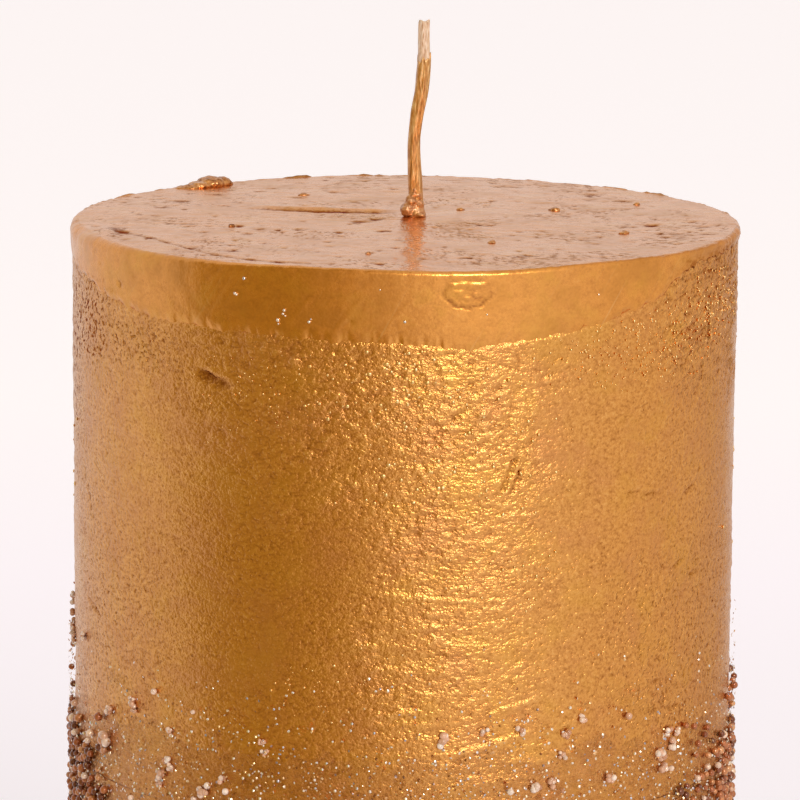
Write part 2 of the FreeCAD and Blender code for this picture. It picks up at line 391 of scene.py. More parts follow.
# the lower coat: sand a quarter of a millimetre across gives it a fine sparkle, and the lumps give larger
# glints
hammered_gold = gold_wax("hammered_gold_wax", ["#985a28", "#c68540", "#dd994c", "#eeb267"], "#cf8b50", 6.0,
                         roughness=0.29, grain=(0.26, 0.06), lumps=(0.60, 0.17), knob_share=0.18)
# the upper coat: almost no grain, so it gives broad soft reflections with a few pale streaks
smooth_gold = gold_wax("smooth_gold_wax", ["#985632", "#d08a40", "#e49a48", "#ecaa5c"], "#c88638", 4.5,
                       roughness=0.27, grain=(0.30, 0.020), lumps=(1.3, 0.06), knob_share=0.10, streaks=0.20)


# %% [markdown]
# ## The hammered skin
#
# The lower coat of gold wrinkled as it cooled. It is a main piece whose shape follows a rule, so Geometry
# Nodes make it: a flat grid is rolled into a wall, and noise pushes the wall out and in. The lumps are
# wider than tall, bold at the front and fine at the sides, because a list of zones says how strong they
# are. The grid's columns stand closer together at the front, where the lumps are smallest. Each point keeps
# its height above the wall as "relief", which the material reads to paint shade into the hollows and light
# onto the peaks. Marks that came from handling, such as gouges and scratches, are pressed in afterwards
# one by one.

# %% Skin tree
# each zone: degrees to the right of the front, height, reach, and the strength of the lumps there
BOLD_ZONES = [
    (-8, 139, 20, 1.0), (8, 131, 17, 1.0), (18, 122, 15, 0.85), (6, 112, 16, 0.8), (12, 103, 12, 0.6),
    (-14, 128, 10, 0.6), (-28, 139, 12, 0.8), (-42, 142, 9, 0.6), (60, 145, 13, 1.5), (78, 143, 12, 1.2),
    (150, 130, 22, 0.9), (-120, 118, 20, 0.7), (100, 108, 16, 0.6),
]
CALM_ZONES = [
    (27, 134, 5.0), (29, 124, 5.5), (-12, 121, 6.0), (24, 141, 1.8), (-30, 112, 9.0), (-170, 112, 8.0),
]
COLUMN_CROWDING = 0.42
LEAST_FORCE = 0.22


def wall_point(degrees, height, radius):
    """A point on the wall, from degrees to the right of the front."""
    a = math.radians(degrees)
    return (radius * math.sin(a), -radius * math.cos(a), height)


def rolled_grid(tree, columns, rows, left, right, low, high, radius, crowding):
    """Adds nodes that roll a grid into a wall. Returns the grid, each point's place and the outward
    direction."""
    grid = add(tree, "GeometryNodeMeshGrid",
               {"Size X": 1.0, "Size Y": 1.0, "Vertices X": columns, "Vertices Y": rows})
    flat = add(tree, "SeparateXYZ", add(tree, "GeometryNodeInputPosition"))
    across = add(tree, "Math", flat.outputs[0], 0.5, operation="ADD")
    turn = add(tree, "MapRange", across, 0.0, 1.0, left, right)
    wave = add(tree, "Math", turn, operation="SINE")
    crowded = add(tree, "Math", wave, -crowding, turn, operation="MULTIPLY_ADD")
    side = add(tree, "Math", crowded, operation="SINE")
    depth = add(tree, "Math", crowded, operation="COSINE")
    back = add(tree, "Math", depth, -1.0, operation="MULTIPLY")
    outward = add(tree, "CombineXYZ", side, back)
    up = add(tree, "Math", flat.outputs[1], 0.5, operation="ADD")
    height = add(tree, "MapRange", up, 0.0, 1.0, low, high)
    wall = add(tree, "VectorMath", outward, {3: radius}, operation="SCALE")
    place = add(tree, "VectorMath", wall, add(tree, "CombineXYZ", {2: height}), operation="ADD")
    return grid, place, outward


def new_tree(name, inputs):
    """A Geometry Nodes tree with these named inputs, each a kind and a starting value."""
    tree = bpy.data.node_groups.new(name, "GeometryNodeTree")
    tree.interface.new_socket("Geometry", in_out="INPUT", socket_type="NodeSocketGeometry")
    for label, (kind, value) in inputs.items():
        item = tree.interface.new_socket(label, in_out="INPUT", socket_type="NodeSocket" + kind)
        if value is not None:
            item.default_value = value
    tree.interface.new_socket("Geometry", in_out="OUTPUT", socket_type="NodeSocketGeometry")
    return tree, add(tree, "NodeGroupInput").outputs


def end_tree(tree, geometry, material):
    """Ends a tree: every instance made real, and the material set."""
    whole = add(tree, "GeometryNodeRealizeInstances", {"Geometry": geometry})
    coloured = add(tree, "GeometryNodeSetMaterial", {"Geometry": whole, "Material": material})
    add(tree, "NodeGroupOutput", {0: coloured})


def zone_field(tree, place, degrees, height, reach, core, inside, outside):
    """A number at each place: one value in the zone's core, another beyond its reach, and a smooth change
    between."""
    away = add(tree, "VectorMath", place, wall_point(degrees, height, GOLD_RADIUS), operation="DISTANCE")
    return add(tree, "MapRange", away.outputs["Value"], reach * core, reach, inside, outside,
               interpolation_type="SMOOTHSTEP")


def skin_tree():
    """The hammered skin as a Geometry Nodes tree."""
    tree, given = new_tree("dipped_wax_skin", {
        "Columns": ("Int", 441), "Rows": ("Int", 225), "Radius": ("Float", 37.7), "Low": ("Float", 90.0),
        "High": ("Float", 149.0), "Lump Width": ("Float", 1.0), "Lump Depth": ("Float", 0.3),
        "Swell": ("Float", 0.2), "Material": ("Material", None)})
    grid, place, outward = rolled_grid(tree, given["Columns"], given["Rows"], -math.pi, math.pi,
                                       given["Low"], given["High"], given["Radius"], COLUMN_CROWDING)
    strength = LEAST_FORCE
    for degrees, height, reach, force in BOLD_ZONES:
        zone = zone_field(tree, place, degrees, height, reach, 0.45, force, LEAST_FORCE)
        strength = add(tree, "Math", strength, zone, operation="MAXIMUM")
    for degrees, height, reach in CALM_ZONES:
        zone = zone_field(tree, place, degrees, height, reach, 0.5, 0.2, 1.0)
        strength = add(tree, "Math", strength, zone, operation="MULTIPLY")
    patch = add(tree, "TexNoise", {"Vector": place, "Scale": 1 / 6.0, "Detail": 2.0})
    patchy = add(tree, "MapRange", patch, 0.35, 0.65, 0.45, 1.3)
    force = add(tree, "Math", strength, patchy, operation="MULTIPLY")

    wide = add(tree, "VectorMath", place, (1.0, 1.0, 2.1), operation="MULTIPLY")
    pitch = add(tree, "Math", 1.0, given["Lump Width"], operation="DIVIDE")
    lumps = add(tree, "TexNoise", {"Vector": wide, "Scale": pitch, "Detail": 2.0, "Distortion": 0.6})
    centred = add(tree, "Math", lumps, 0.5, operation="SUBTRACT")
    hammer = add(tree, "Math", centred, force, operation="MULTIPLY")
    lump_height = add(tree, "Math", hammer, given["Lump Depth"], operation="MULTIPLY")
    # long level ridges, where the dip line crept down the wall
    level = add(tree, "VectorMath", place, (0.07, 0.07, 0.75), operation="MULTIPLY")
    ridge = add(tree, "TexNoise", {"Vector": level, "Scale": 1.0, "Detail": 3.0, "Roughness": 0.6})
    ridge_height = add(tree, "MapRange", ridge, 0.3, 0.7, -0.06, 0.06)
    swell = add(tree, "TexNoise", {"Vector": place, "Scale": 0.09, "Detail": 1.0})
    swell_centred = add(tree, "Math", swell, 0.5, operation="SUBTRACT")
    slow = add(tree, "Math", swell_centred, given["Swell"], ridge_height, operation="MULTIPLY_ADD")
    relief = add(tree, "Math", slow, lump_height, operation="ADD")

    push = add(tree, "VectorMath", outward, {3: relief}, operation="SCALE")
    pushed = add(tree, "VectorMath", place, push, operation="ADD")
    metres = add(tree, "VectorMath", pushed, {3: MM}, operation="SCALE")
    boldly = add(tree, "GeometryNodeStoreNamedAttribute", {"Geometry": grid, "Name": "bold", "Value": force})
    told = add(tree, "GeometryNodeStoreNamedAttribute",
               {"Geometry": boldly, "Name": "relief", "Value": hammer})
    placed = add(tree, "GeometryNodeSetPosition", {"Geometry": told, "Position": metres})
    closed = add(tree, "GeometryNodeMergeByDistance", {"Geometry": placed, "Distance": 0.003 * MM})
    smooth = add(tree, "GeometryNodeSetShadeSmooth", {"Geometry": closed})
    end_tree(tree, smooth, given["Material"])
    return tree


def run_tree(name, tree, **values):
    """Runs a Geometry Nodes tree on an empty object and keeps the result as a plain mesh."""
    piece = bpy.data.objects.new(name, bpy.data.meshes.new(name + "_start"))
    bpy.context.scene.collection.objects.link(piece)
    modifier = piece.modifiers.new("nodes", "NODES")
    modifier.node_group = tree
    for item in tree.interface.items_tree:
        if item.in_out == "INPUT" and item.name.replace(" ", "_") in values:
            modifier[item.identifier] = values[item.name.replace(" ", "_")]
    keep_result(piece)
    return piece


# %% [markdown]
# The marks are small dents and bumps in one list: where each is, how long and wide, how it tilts, and how
# deep. The same function presses them into the skins and into the smooth dip. A dent gets a low rim beside
# it, because wax that is pressed in has to go somewhere.

# %% Marks on the wall
# how far the dip runs down the wall: degrees to the right of the front, millimetres
EDGE_DEPTHS = [
    (-180, 7.0), (-140, 6.0), (-110, 3.4), (-90, 3.0), (-80, 3.9), (-66, 5.6), (-50, 7.5), (-27, 7.9),
    (0, 8.4), (11, 8.9), (28, 7.6), (43, 5.8), (49, 4.4), (53, 2.8), (58, 1.7), (85, 1.5), (100, 3.0),
    (120, 5.2), (150, 7.5), (180, 7.0),
]
# where small pits, painted dark as shade, lie close together: degrees, height, reach in degrees, reach in
# millimetres, how many
PITTED_ZONES = [
    (-74, 142.5, 15, 5.0, 1.0), (-88, 138, 14, 8.0, 1.0), (-52, 141.5, 12, 2.6, 0.6),
    (74, 147, 14, 4.5, 0.3), (-84, 128, 14, 6.0, 0.5), (120, 138, 22, 7.0, 0.8), (-150, 140, 20, 5.0, 0.8),
    (56, 107, 24, 14.0, 0.34), (-62, 107, 24, 14.0, 0.30),
]
# degrees, height, half length, half width, tilt in degrees, depth (a bump is negative), all lengths in
# millimetres
MARKS = [
    (-32.6, 139.0, 2.0, 0.45, -14, 0.30), (-34.2, 139.6, 1.0, 0.35, -30, 0.22),
    (-17.9, 141.9, 0.55, 0.4, 10, -0.30), (-17.2, 142.0, 0.28, 0.35, 0, 0.28),
    (-24.4, 129.1, 0.3, 0.28, 0, -0.24), (-24.1, 129.0, 0.2, 0.25, 0, 0.22),
    (-41.5, 120.9, 1.9, 0.18, -4, 0.14), (-39.4, 119.8, 0.9, 0.16, 0, 0.12),
    (-68.5, 122.5, 3.4, 0.22, -62, 0.12), (-66.2, 110.0, 2.2, 0.22, -18, 0.14),
    (-10.7, 138.3, 0.8, 0.3, -25, -0.16), (-7.3, 139.1, 0.7, 0.34, -25, -0.18),
    (-8.0, 135.0, 0.65, 0.3, -10, -0.15), (12.9, 136.4, 0.6, 0.4, -20, -0.20),
    (8.0, 136.0, 2.1, 0.32, 38, 0.14), (5.6, 134.9, 1.2, 0.35, -35, 0.12),
    (5.6, 133.0, 0.9, 0.22, -80, 0.16), (10.6, 141.0, 2.4, 0.14, 88, 0.12),
    (17.2, 129.6, 2.2, 0.24, 68, 0.26), (18.6, 129.0, 2.0, 0.22, 66, 0.22),
    (2.0, 116.5, 4.2, 0.22, -4, -0.12), (13.0, 116.0, 3.0, 0.2, -3, -0.10),
    (2.7, 113.1, 2.8, 0.22, 3, -0.12), (24.0, 141.3, 1.6, 1.4, 0, 0.07), (23.6, 139.6, 1.7, 0.2, 8, -0.12),
    (47.6, 135.8, 0.9, 0.2, 72, -0.14), (48.6, 133.6, 0.9, 0.2, 65, -0.14),
    (41.2, 126.3, 0.9, 0.22, -5, 0.2), (46.2, 125.7, 1.6, 0.22, -6, 0.2), (56.6, 125.1, 1.2, 0.26, 20, 0.2),
    (53.5, 117.2, 1.2, 0.24, 25, 0.2), (58.1, 115.5, 0.9, 0.24, 0, 0.18), (48.1, 104.5, 1.1, 0.22, 0, 0.16),
    (49.6, 101.2, 4.0, 0.2, -3, 0.14), (49.0, 100.5, 3.2, 0.18, -2, -0.10),
    (14.5, 100.0, 4.4, 0.3, 12, -0.16), (20.0, 104.3, 2.8, 0.28, 14, -0.14),
    (-3.0, 103.5, 1.6, 0.26, 2, -0.18), (0.5, 103.9, 1.3, 0.26, 0, -0.16), (95.0, 131.0, 3.5, 0.3, 20, 0.2),
    (128.0, 122.0, 5.0, 0.25, -8, 0.16), (-150.0, 136.0, 3.0, 0.4, 40, 0.2),
    (-105.0, 126.0, 4.0, 0.22, -5, 0.15), (170.0, 141.0, 2.5, 1.6, 0, 0.2),
    (-96.0, 138.0, 1.2, 0.4, -20, 0.2),
]
# upright streaks under the rim on the right, where the skin ran down in drops
STREAKS = 44
streak_chance = random.Random(3)
for _ in range(STREAKS):
    MARKS.append((streak_chance.uniform(50, 92), streak_chance.uniform(142, 150.8),
                  streak_chance.uniform(0.4, 1.8),
                  streak_chance.uniform(0.2, 0.34), streak_chance.uniform(80, 98),
                  streak_chance.uniform(-0.16, 0.22)))


def points_of(piece):
    """The piece's points in millimetres, and each one's degrees to the right of the front."""
    flat = np.empty(len(piece.data.vertices) * 3)
    piece.data.vertices.foreach_get("co", flat)
    points = flat.reshape(-1, 3) / MM
    return points, np.degrees(np.arctan2(points[:, 0], -points[:, 1]))


def push_out(piece, points, change):
    """Moves the points outwards by so many millimetres each."""
    wall = np.maximum(np.hypot(points[:, 0], points[:, 1]), 1.0)
    points[:, :2] *= (1 + change / wall)[:, None]
    piece.data.vertices.foreach_set("co", (points * MM).ravel())
    piece.data.update()


def add_relief(piece, change):
    """Adds to the relief that the material reads."""
    relief = piece.data.attributes["relief"].data
    told = np.empty(len(relief))
    relief.foreach_get("value", told)
    relief.foreach_set("value", told + change)


def tell_pits(piece, share=1.0):
    """Tells the material where small pits lie close together, which it sinks in with bumps and paints dark
    as shade.
    """
    points, turn = points_of(piece)
    pitted = np.zeros(len(points))
    for degrees, height, reach, reach_up, many in PITTED_ZONES:
        off = (turn - degrees + 180) % 360 - 180
        up = points[:, 2] - height
        pitted = np.maximum(pitted, many * np.exp(-(off / reach) ** 4 - (up / reach_up) ** 4))
    tell(piece, "pitted", pitted * share)


def press_marks(piece, marks, radius):
    """Moves the wall's points out or in under each mark, and adds to the relief, from which the material
    paints shade into the dents and light onto the bumps.
    """
    points, turn = points_of(piece)
    change = np.zeros(len(points))
    for degrees, height, half_length, half_width, tilt, depth in marks:
        around = np.radians((turn - degrees + 180) % 360 - 180) * radius
        up = points[:, 2] - height
        c, s = math.cos(math.radians(tilt)), math.sin(math.radians(tilt))
        along = (around * c + up * s) / half_length
        aside = (up * c - around * s) / half_width
        change -= depth * np.exp(-along ** 4 - aside ** 2)
        change += 0.3 * depth * np.exp(-along ** 4 - (aside - 1.9) ** 2)
    push_out(piece, points, change)
    add_relief(piece, change * 1.4)


def edge_depth(degrees):
    """How far the smooth dip runs down the wall, in millimetres, without its raggedness."""
    return np.interp(degrees, [a for a, _ in EDGE_DEPTHS], [d for _, d in EDGE_DEPTHS])


def tuck_under(piece, depth=0.45):
    """Sinks the upper end of the hammered skin below the smooth dip that covers it."""
    points, turn = points_of(piece)
    above = points[:, 2] - (BODY_HEIGHT - edge_depth(turn))
    push_out(piece, points, -depth * np.clip((above - 0.2) / 0.9, 0.0, 1.0))


def close_wall(piece, inner_radius, chamfer=0.0):
    """Turns an open wall into a closed shell: a rim at each end, and a wall inside."""
    work = bmesh.new()
    work.from_mesh(piece.data)
    middle = sum(vertex.co.z for vertex in work.verts) / len(work.verts)
    inner = []
    for above in (False, True):
        loop = [edge for edge in work.edges if edge.is_boundary
                and all((vertex.co.z > middle) == above for vertex in edge.verts)]
        rings = [(inner_radius, 0.0)] if above or not chamfer else [(None, chamfer), (inner_radius, 0.0)]
        for radius, drop in rings:
            new = bmesh.ops.extrude_edge_only(work, edges=loop)["geom"]
            for vertex in new:
                if isinstance(vertex, bmesh.types.BMVert):
                    wall = math.hypot(vertex.co.x, vertex.co.y)
                    scale = (radius * MM if radius else wall - drop * MM) / wall
                    vertex.co.x *= scale
                    vertex.co.y *= scale
                    vertex.co.z -= drop * MM
            loop = [edge for edge in new if isinstance(edge, bmesh.types.BMEdge)]
        inner += loop
    bmesh.ops.bridge_loops(work, edges=inner)
    bmesh.ops.recalc_face_normals(work, faces=work.faces)
    work.to_mesh(piece.data)
    work.free()
    piece.data.shade_smooth()


# %% The two skins
wax_skin = skin_tree()
upper_skin = run_tree("gold_wax_upper", wax_skin, Columns=441, Rows=222, Radius=GOLD_RADIUS + 0.05, Low=91.0,
                      High=151.0, Lump_Width=0.95, Lump_Depth=0.55, Swell=0.3, Material=hammered_gold)
press_marks(upper_skin, MARKS, GOLD_RADIUS)
tuck_under(upper_skin)
tell_pits(upper_skin)
close_wall(upper_skin, CORE_RADIUS + 0.05)
settle(upper_skin, "gold_wax", "gold_dip")

lower_skin = run_tree("gold_wax_lower", wax_skin, Columns=201, Rows=80, Radius=GOLD_RADIUS - 0.05, Low=0.4,
                      High=91.6, Lump_Width=2.4, Lump_Depth=0.3, Swell=0.3, Material=hammered_gold)
close_wall(lower_skin, CORE_RADIUS + 0.05, chamfer=0.4)
settle(lower_skin, "gold_wax", "gold_dip")

# %% [markdown]
# ## The smooth dip over the top
#
# The last dip covers the top face, the rim and the first few millimetres of the wall. It is turned like a
# pot: rows of points from the middle of the top to the ragged lower edge, where it thins out into the
# hammered skin. Its own irregularities are what make it look like wax: shallow waves and short wrinkles on
# the top, pits where bubbles burst, a crease by the rim, a blister under it, and an edge that runs lower in
# some places than in others.

# %% Smooth dip
# notches in the rim: degrees to the right of the front, reach in degrees, depth, or height where it is
# negative
RIM_NOTCHES = [
    (118, 2.6, 0.5), (122, 1.5, 0.4), (108, 2.0, 0.3), (127, 3.0, -0.25), (80, 3.0, -0.25), (-76, 6, 0.15),
    (-160, 2.5, -0.3), (-172, 1.6, -0.25), (150, 2.0, 0.25), (165, 1.5, 0.22), (-118, 2.0, -0.2),
]
# pits and dents of the top: x, y, half length, half width, depth
TOP_PITS = [
    (-18.7, -5.7, 0.55, 0.9, 0.16), (-5.0, -1.2, 1.3, 0.8, 0.12), (-3.4, 0.2, 0.8, 0.7, 0.10),
    (-7.4, -9.8, 0.6, 0.9, 0.12), (-2.6, -8.8, 0.8, 0.7, 0.10), (-16.2, -8.0, 0.8, 0.7, 0.10),
    (-14.2, -8.4, 0.5, 0.7, 0.10), (-12.0, -8.1, 0.5, 0.7, 0.10), (-21.6, 1.0, 0.4, 0.6, 0.08),
    (-9.5, -25.6, 0.4, 0.6, 0.06), (-2.9, -23.6, 0.4, 0.8, 0.07), (-18.8, -24.6, 0.9, 0.8, 0.10),
    (27.6, -2.7, 0.8, 0.8, 0.13), (28.5, -8.9, 0.4, 0.6, 0.10), (19.5, -14.5, 0.5, 0.7, 0.08),
    (9.3, -4.8, 0.9, 0.6, 0.07), (25.6, 16.6, 1.3, 0.8, 0.10), (22.0, 22.0, 0.9, 0.8, 0.09),
    (-8.5, 22.0, 0.8, 0.8, 0.08), (1.2, 25.6, 0.5, 0.7, 0.10), (-28.0, 8.0, 0.9, 0.8, 0.10),
    (-26.0, 14.0, 1.0, 0.8, 0.09), (-22.0, 19.5, 0.7, 0.8, 0.08), (-30.5, 2.0, 0.6, 0.8, 0.08),
    (12.0, 28.0, 1.2, 0.8, 0.08), (5.5, 33.0, 1.4, 0.7, 0.07), (-14.0, 12.0, 0.7, 0.7, 0.06),
    (13.0, -27.0, 0.8, 0.8, 0.06),
]
# and many small ones at random, more of them towards the rim
SMALL_PITS = 240
PITS_REACH = 36.0
pit_chance = random.Random(5)
for _ in range(SMALL_PITS):
    pit_turn = pit_chance.uniform(0, math.tau)
    pit_away = PITS_REACH * pit_chance.random() ** 0.38
    TOP_PITS.append((pit_away * math.cos(pit_turn), pit_away * math.sin(pit_turn),
                     pit_chance.uniform(0.2, 0.7),
                     pit_chance.uniform(0.35, 0.6), pit_chance.uniform(0.03, 0.10)))
# marks of the smooth wall, written as the marks above are
SIDE_MARKS = [
    (-55.4, 147.7, 0.34, 0.22, 90, 0.22), (-62.0, 149.4, 0.22, 0.16, 90, 0.12),
    (-58.5, 145.4, 0.2, 0.16, 60, 0.14), (-66.0, 147.0, 0.18, 0.16, 0, 0.14),
    (-49.0, 145.2, 0.25, 0.16, 0, 0.12), (-44.0, 148.6, 0.16, 0.14, 0, 0.08),
    (7.9, 150.4, 0.35, 0.16, 0, -0.10), (9.4, 150.5, 0.5, 0.16, 5, -0.10),
    (11.5, 150.4, 0.7, 0.16, -5, -0.10), (12.8, 150.5, 0.3, 0.16, 0, -0.08),
    (8.8, 149.6, 0.3, 0.2, 30, -0.08), (9.9, 149.0, 0.4, 0.2, -20, -0.07),
    (11.4, 149.4, 0.3, 0.16, 40, -0.07), (8.2, 150.0, 0.2, 0.14, 0, 0.08),
    (10.4, 149.9, 0.25, 0.14, 0, 0.08), (-24.0, 146.8, 3.4, 0.22, 52, -0.035),
    (-18.5, 146.2, 3.8, 0.2, 50, -0.035), (-30.5, 148.5, 2.8, 0.2, 56, -0.03),
    (-9.5, 146.8, 3.0, 0.22, 52, -0.03), (-2.0, 146.5, 3.0, 0.2, 50, -0.025),
    (-8.8, 146.4, 0.3, 0.2, 0, 0.08), (70.0, 150.0, 0.9, 0.3, 85, 0.14), (77.0, 149.5, 1.2, 0.3, 88, 0.14),
    (64.0, 149.8, 1.2, 0.2, 80, 0.10),
]
# the blister: degrees, height, half width and half height of its ring, and how far it stands out
BLISTER = (10.1, 149.7, 2.55, 1.75, 0.09)


def raise_blister(piece):
    """A burst blister under the rim: a low ring, deepest at its foot, round a shallow hollow. The groove at
    its foot is painted dark as shade, and the inside of the ring a little darker.
    """
    degrees, height, half_wide, half_high, rise = BLISTER
    points, turn = points_of(piece)
    up = points[:, 2] - height
    around = np.radians(turn - degrees) * BODY_RADIUS
    on_wall = np.hypot(points[:, 0], points[:, 1]) > BODY_RADIUS - 0.6
    ring = np.hypot(around / half_wide, up / half_high) + 0.05 * np.sin(9 * np.arctan2(up, around))
    foot = np.clip(0.5 - 0.7 * up / half_high, 0.0, 1.0) * on_wall
    groove = rise * foot * np.exp(-((ring - 1.02) / 0.07) ** 2)
    push_out(piece, points, 0.35 * rise * foot * np.exp(-((ring - 0.86) / 0.10) ** 2) - 0.8 * groove)
    add_relief(piece, -4.0 * groove - 0.12 * (ring < 1) * on_wall)


def wavy(angle, lobes, shift=0.0):
    """A smooth random curve round the candle, from -1 to 1, with about this many waves."""
    return noise.noise(Vector((lobes / 3 * math.cos(angle), lobes / 3 * math.sin(angle), shift)))


def noise_at(spots, pitch, shift):
    """Smooth noise at each spot, from about -0.7 to 0.7."""
    return np.array([noise.noise(Vector(spot)) for spot in spots * np.array(pitch) + shift])


def top_shape(x, y):
    """The height of the top's skin above flat, in millimetres, and the painted shade of its creases and
    pits, from arrays of places."""
    spots = np.stack([x, y, np.zeros_like(x)], axis=-1)
    height = 0.20 * noise_at(spots, 0.055, 0.0) + 0.05 * noise_at(spots, 0.3, 7.0)
    height += 0.045 * noise_at(spots, 0.85, 4.0) + 0.02 * noise_at(spots, 1.9, 8.0)
    away = np.hypot(x, y)
    # creases: thin lines, longer from side to side, closer together towards the rim
    outer = np.clip((away - 10) / 16, 0.0, 1.0) * (0.75 + 0.25 * np.sign(x))
    patch = np.clip(2.4 * noise_at(spots, 0.12, 13.0) + 0.15 + 0.45 * outer, 0.0, 1.0)
    crease = np.clip(1 - np.abs(noise_at(spots, (0.28, 0.62, 1.0), 21.0)) / 0.03, 0.0, 1.0)
    crease = np.maximum(crease, np.clip(1 - np.abs(noise_at(spots, (0.5, 1.1, 1.0), 34.0)) / 0.045, 0.0,
                                        1.0))
    hollow = 0.09 * patch * crease
    # a long low ridge that runs into the wick's foot, with a groove in front of it
    fade = np.sin(math.pi * np.clip((x + 18) / 17, 0.0, 1.0)) ** 0.5
    bow = 9.2 - 0.13 * (x + 16)
    height += fade * 0.22 * np.exp(-((y - bow) / 1.0) ** 2)
    hollow += fade * 0.16 * np.exp(-((y - bow + 1.9) / 0.8) ** 2)
    # a crease near the rim on the left
    height += 0.22 * np.exp(-((x + 33.4) / 1.3) ** 2 - ((y + 11.0) / 3.2) ** 2)
    hollow += 0.10 * np.exp(-((x + 31.8) / 0.9) ** 2 - ((y + 11.4) / 3.0) ** 2)
    # a thin line inside the rim at the front left
    line = 35.6 - 3.4 * np.exp(-((x + 27) / 7) ** 2)
    hollow += 0.09 * np.exp(-((away - line) / 0.35) ** 2) * ((x < -10) & (y < -8))
    for pit_x, pit_y, half_x, half_y, depth in TOP_PITS:
        hollow += 1.3 * depth * np.exp(-((x - pit_x) / half_x) ** 2 - ((y - pit_y) / half_y) ** 2)
    return height - hollow, -2.6 * hollow


def build_smooth_dip():
    """The turned shell of the smooth dip: top face, rim, ragged skirt, and the inside that closes it."""
    columns, side_rows = 520, 46
    turn = np.linspace(-math.pi, math.pi, columns, endpoint=False)
    turn = turn - COLUMN_CROWDING * np.sin(turn)
    angles = turn - math.pi / 2
    degrees = np.degrees(turn)
    # the rim is a tight curve, but soft on the left, where the dip ran thick
    rim_curve = 0.5 + 0.75 * np.exp(-((degrees + 74) / 20) ** 2)
    rim_curve += 0.3 * np.exp(-((np.abs(degrees) - 150) / 40) ** 2)
    inside = BODY_RADIUS - rim_curve
    rows, tones = [], []
    for share in np.concatenate([np.linspace(0.0, 0.955, 96), np.linspace(0.964, 1.0, 6)]):
        reach = inside * share
        height, tone = top_shape(reach * np.cos(angles), reach * np.sin(angles))
        rows.append((reach, BODY_HEIGHT - 0.06 + height))
        tones.append(tone)
    rim = rows[-1][1]
    notch = np.array([0.12 * wavy(a, 24) + 0.14 * wavy(a, 70, 5.0) + 0.16 * wavy(a, 190,
                                                                                 9.0) for a in angles])
    notch *= 0.35 + 0.65 * np.clip((np.abs(degrees) - 40) / 50, 0, 1)
    for degree, reach, depth in RIM_NOTCHES:
        notch -= depth * np.exp(-((degrees - degree) / reach) ** 2)
    for step in range(1, 11):
        bend = step / 10 * math.pi / 2
        rows.append((inside + rim_curve * math.sin(bend) + 0.5 * notch * math.sin(bend),
                     rim - rim_curve * (1 - math.cos(bend)) + 0.9 * notch * math.cos(bend)))
    ragged = np.array([0.5 * wavy(a, 40) + 0.5 * wavy(a, 110, 3.0) + 0.55 * wavy(a, 260,
                                                                                 7.0) for a in angles])
    depth = edge_depth(degrees) + ragged
    start = rows[-1][1]
    foot = BODY_HEIGHT - depth
    for step in range(1, side_rows + 1):
        share = step / side_rows
        wave = np.array([0.12 * wavy(a, 9, share * 0.8) + 0.07 * wavy(a, 26, share * 2.0)
                         + 0.02 * wavy(a, 90, share * 5.0) for a in angles])
        thin = 0.42 * max(0.0, (share - 0.8) / 0.2) ** 1.6 + 0.10 * share
        rows.append((BODY_RADIUS + wave * share ** 0.5 - thin + 0.5 * notch * (1 - share) ** 4,
                     start + (foot - start) * share))
    # the inside: in under the edge, up to the core, and across below the top face
    rows.append((np.full(columns, GOLD_RADIUS - 0.35), foot))
    rows.append((np.full(columns, CORE_RADIUS), foot + 0.1))
    rows.append((np.full(columns, CORE_RADIUS - 0.2), np.full(columns, BODY_HEIGHT - 1.2)))
    rows.append((np.zeros(columns), np.full(columns, BODY_HEIGHT - 1.2)))
    points = np.array([np.stack([r * np.cos(angles), r * np.sin(angles), z], axis=-1) for r, z in rows])
    piece = write_piece("smooth_gold_dip", points.reshape(-1, 3),
                        grid_faces(len(rows), columns, downwards=True), smooth_gold)
    relief = np.zeros((len(rows), columns))
    # the top's hollows are painted dark as shade
    relief[:len(tones)] = tones
    # painted shade, brown, along the torn edge where the dip is short, and on the rim above it
    short = np.clip((degrees - 46) / 8, 0, 1) * np.clip((100 - degrees) / 10, 0, 1)
    patchy = np.array([0.6 + 0.9 * wavy(a, 60, 2.0) for a in angles])
    relief[len(tones) + 8:-4] -= 0.3 * short * patchy * np.linspace(0.3, 1.0,
                                                                    len(rows) - len(tones) - 12)[:, None]
    tell(piece, "relief", relief.ravel())
    press_marks(piece, SIDE_MARKS, BODY_RADIUS)
    raise_blister(piece)
    tell_pits(piece, share=0.6)
    merge_doubles(piece)
    return piece


smooth_dip = build_smooth_dip()
settle(smooth_dip, "gold_wax", "smooth_top_dip")


# %% [markdown]
# ## Melted lumps
#
# The drip that hangs on the rim, the foot where wax gathered round the wick, and the spatters on the top
# are all small lumps that melted together. Each is a handful of balls, joined by a voxel remesh, smoothed,
# and roughened a little.

# %% Lumps of wax
# thick wax with little pigment in it: half a metal, half a warm brown wax with a clear shine
lump_gold = gold_wax("lumpy_gold_wax", ["#82461f", "#a96c42", "#c48c60", "#dcae88"], "#cf9c74", 2.0,
                     roughness=0.32, grain=(0.3, 0.03), lumps=(0.9, 0.06), knob_share=0.22, metallic=0.5)
# the last drops of the dip: darker and redder than the wall
drip_gold = gold_wax("drip_gold_wax", ["#6c3a1e", "#a66c3a", "#c2824a", "#e4ac70"], "#a86e44", 1.5,
                     roughness=0.27, grain=(0.3, 0.02), lumps=(0.9, 0.06), knob_share=0.25, metallic=0.65)


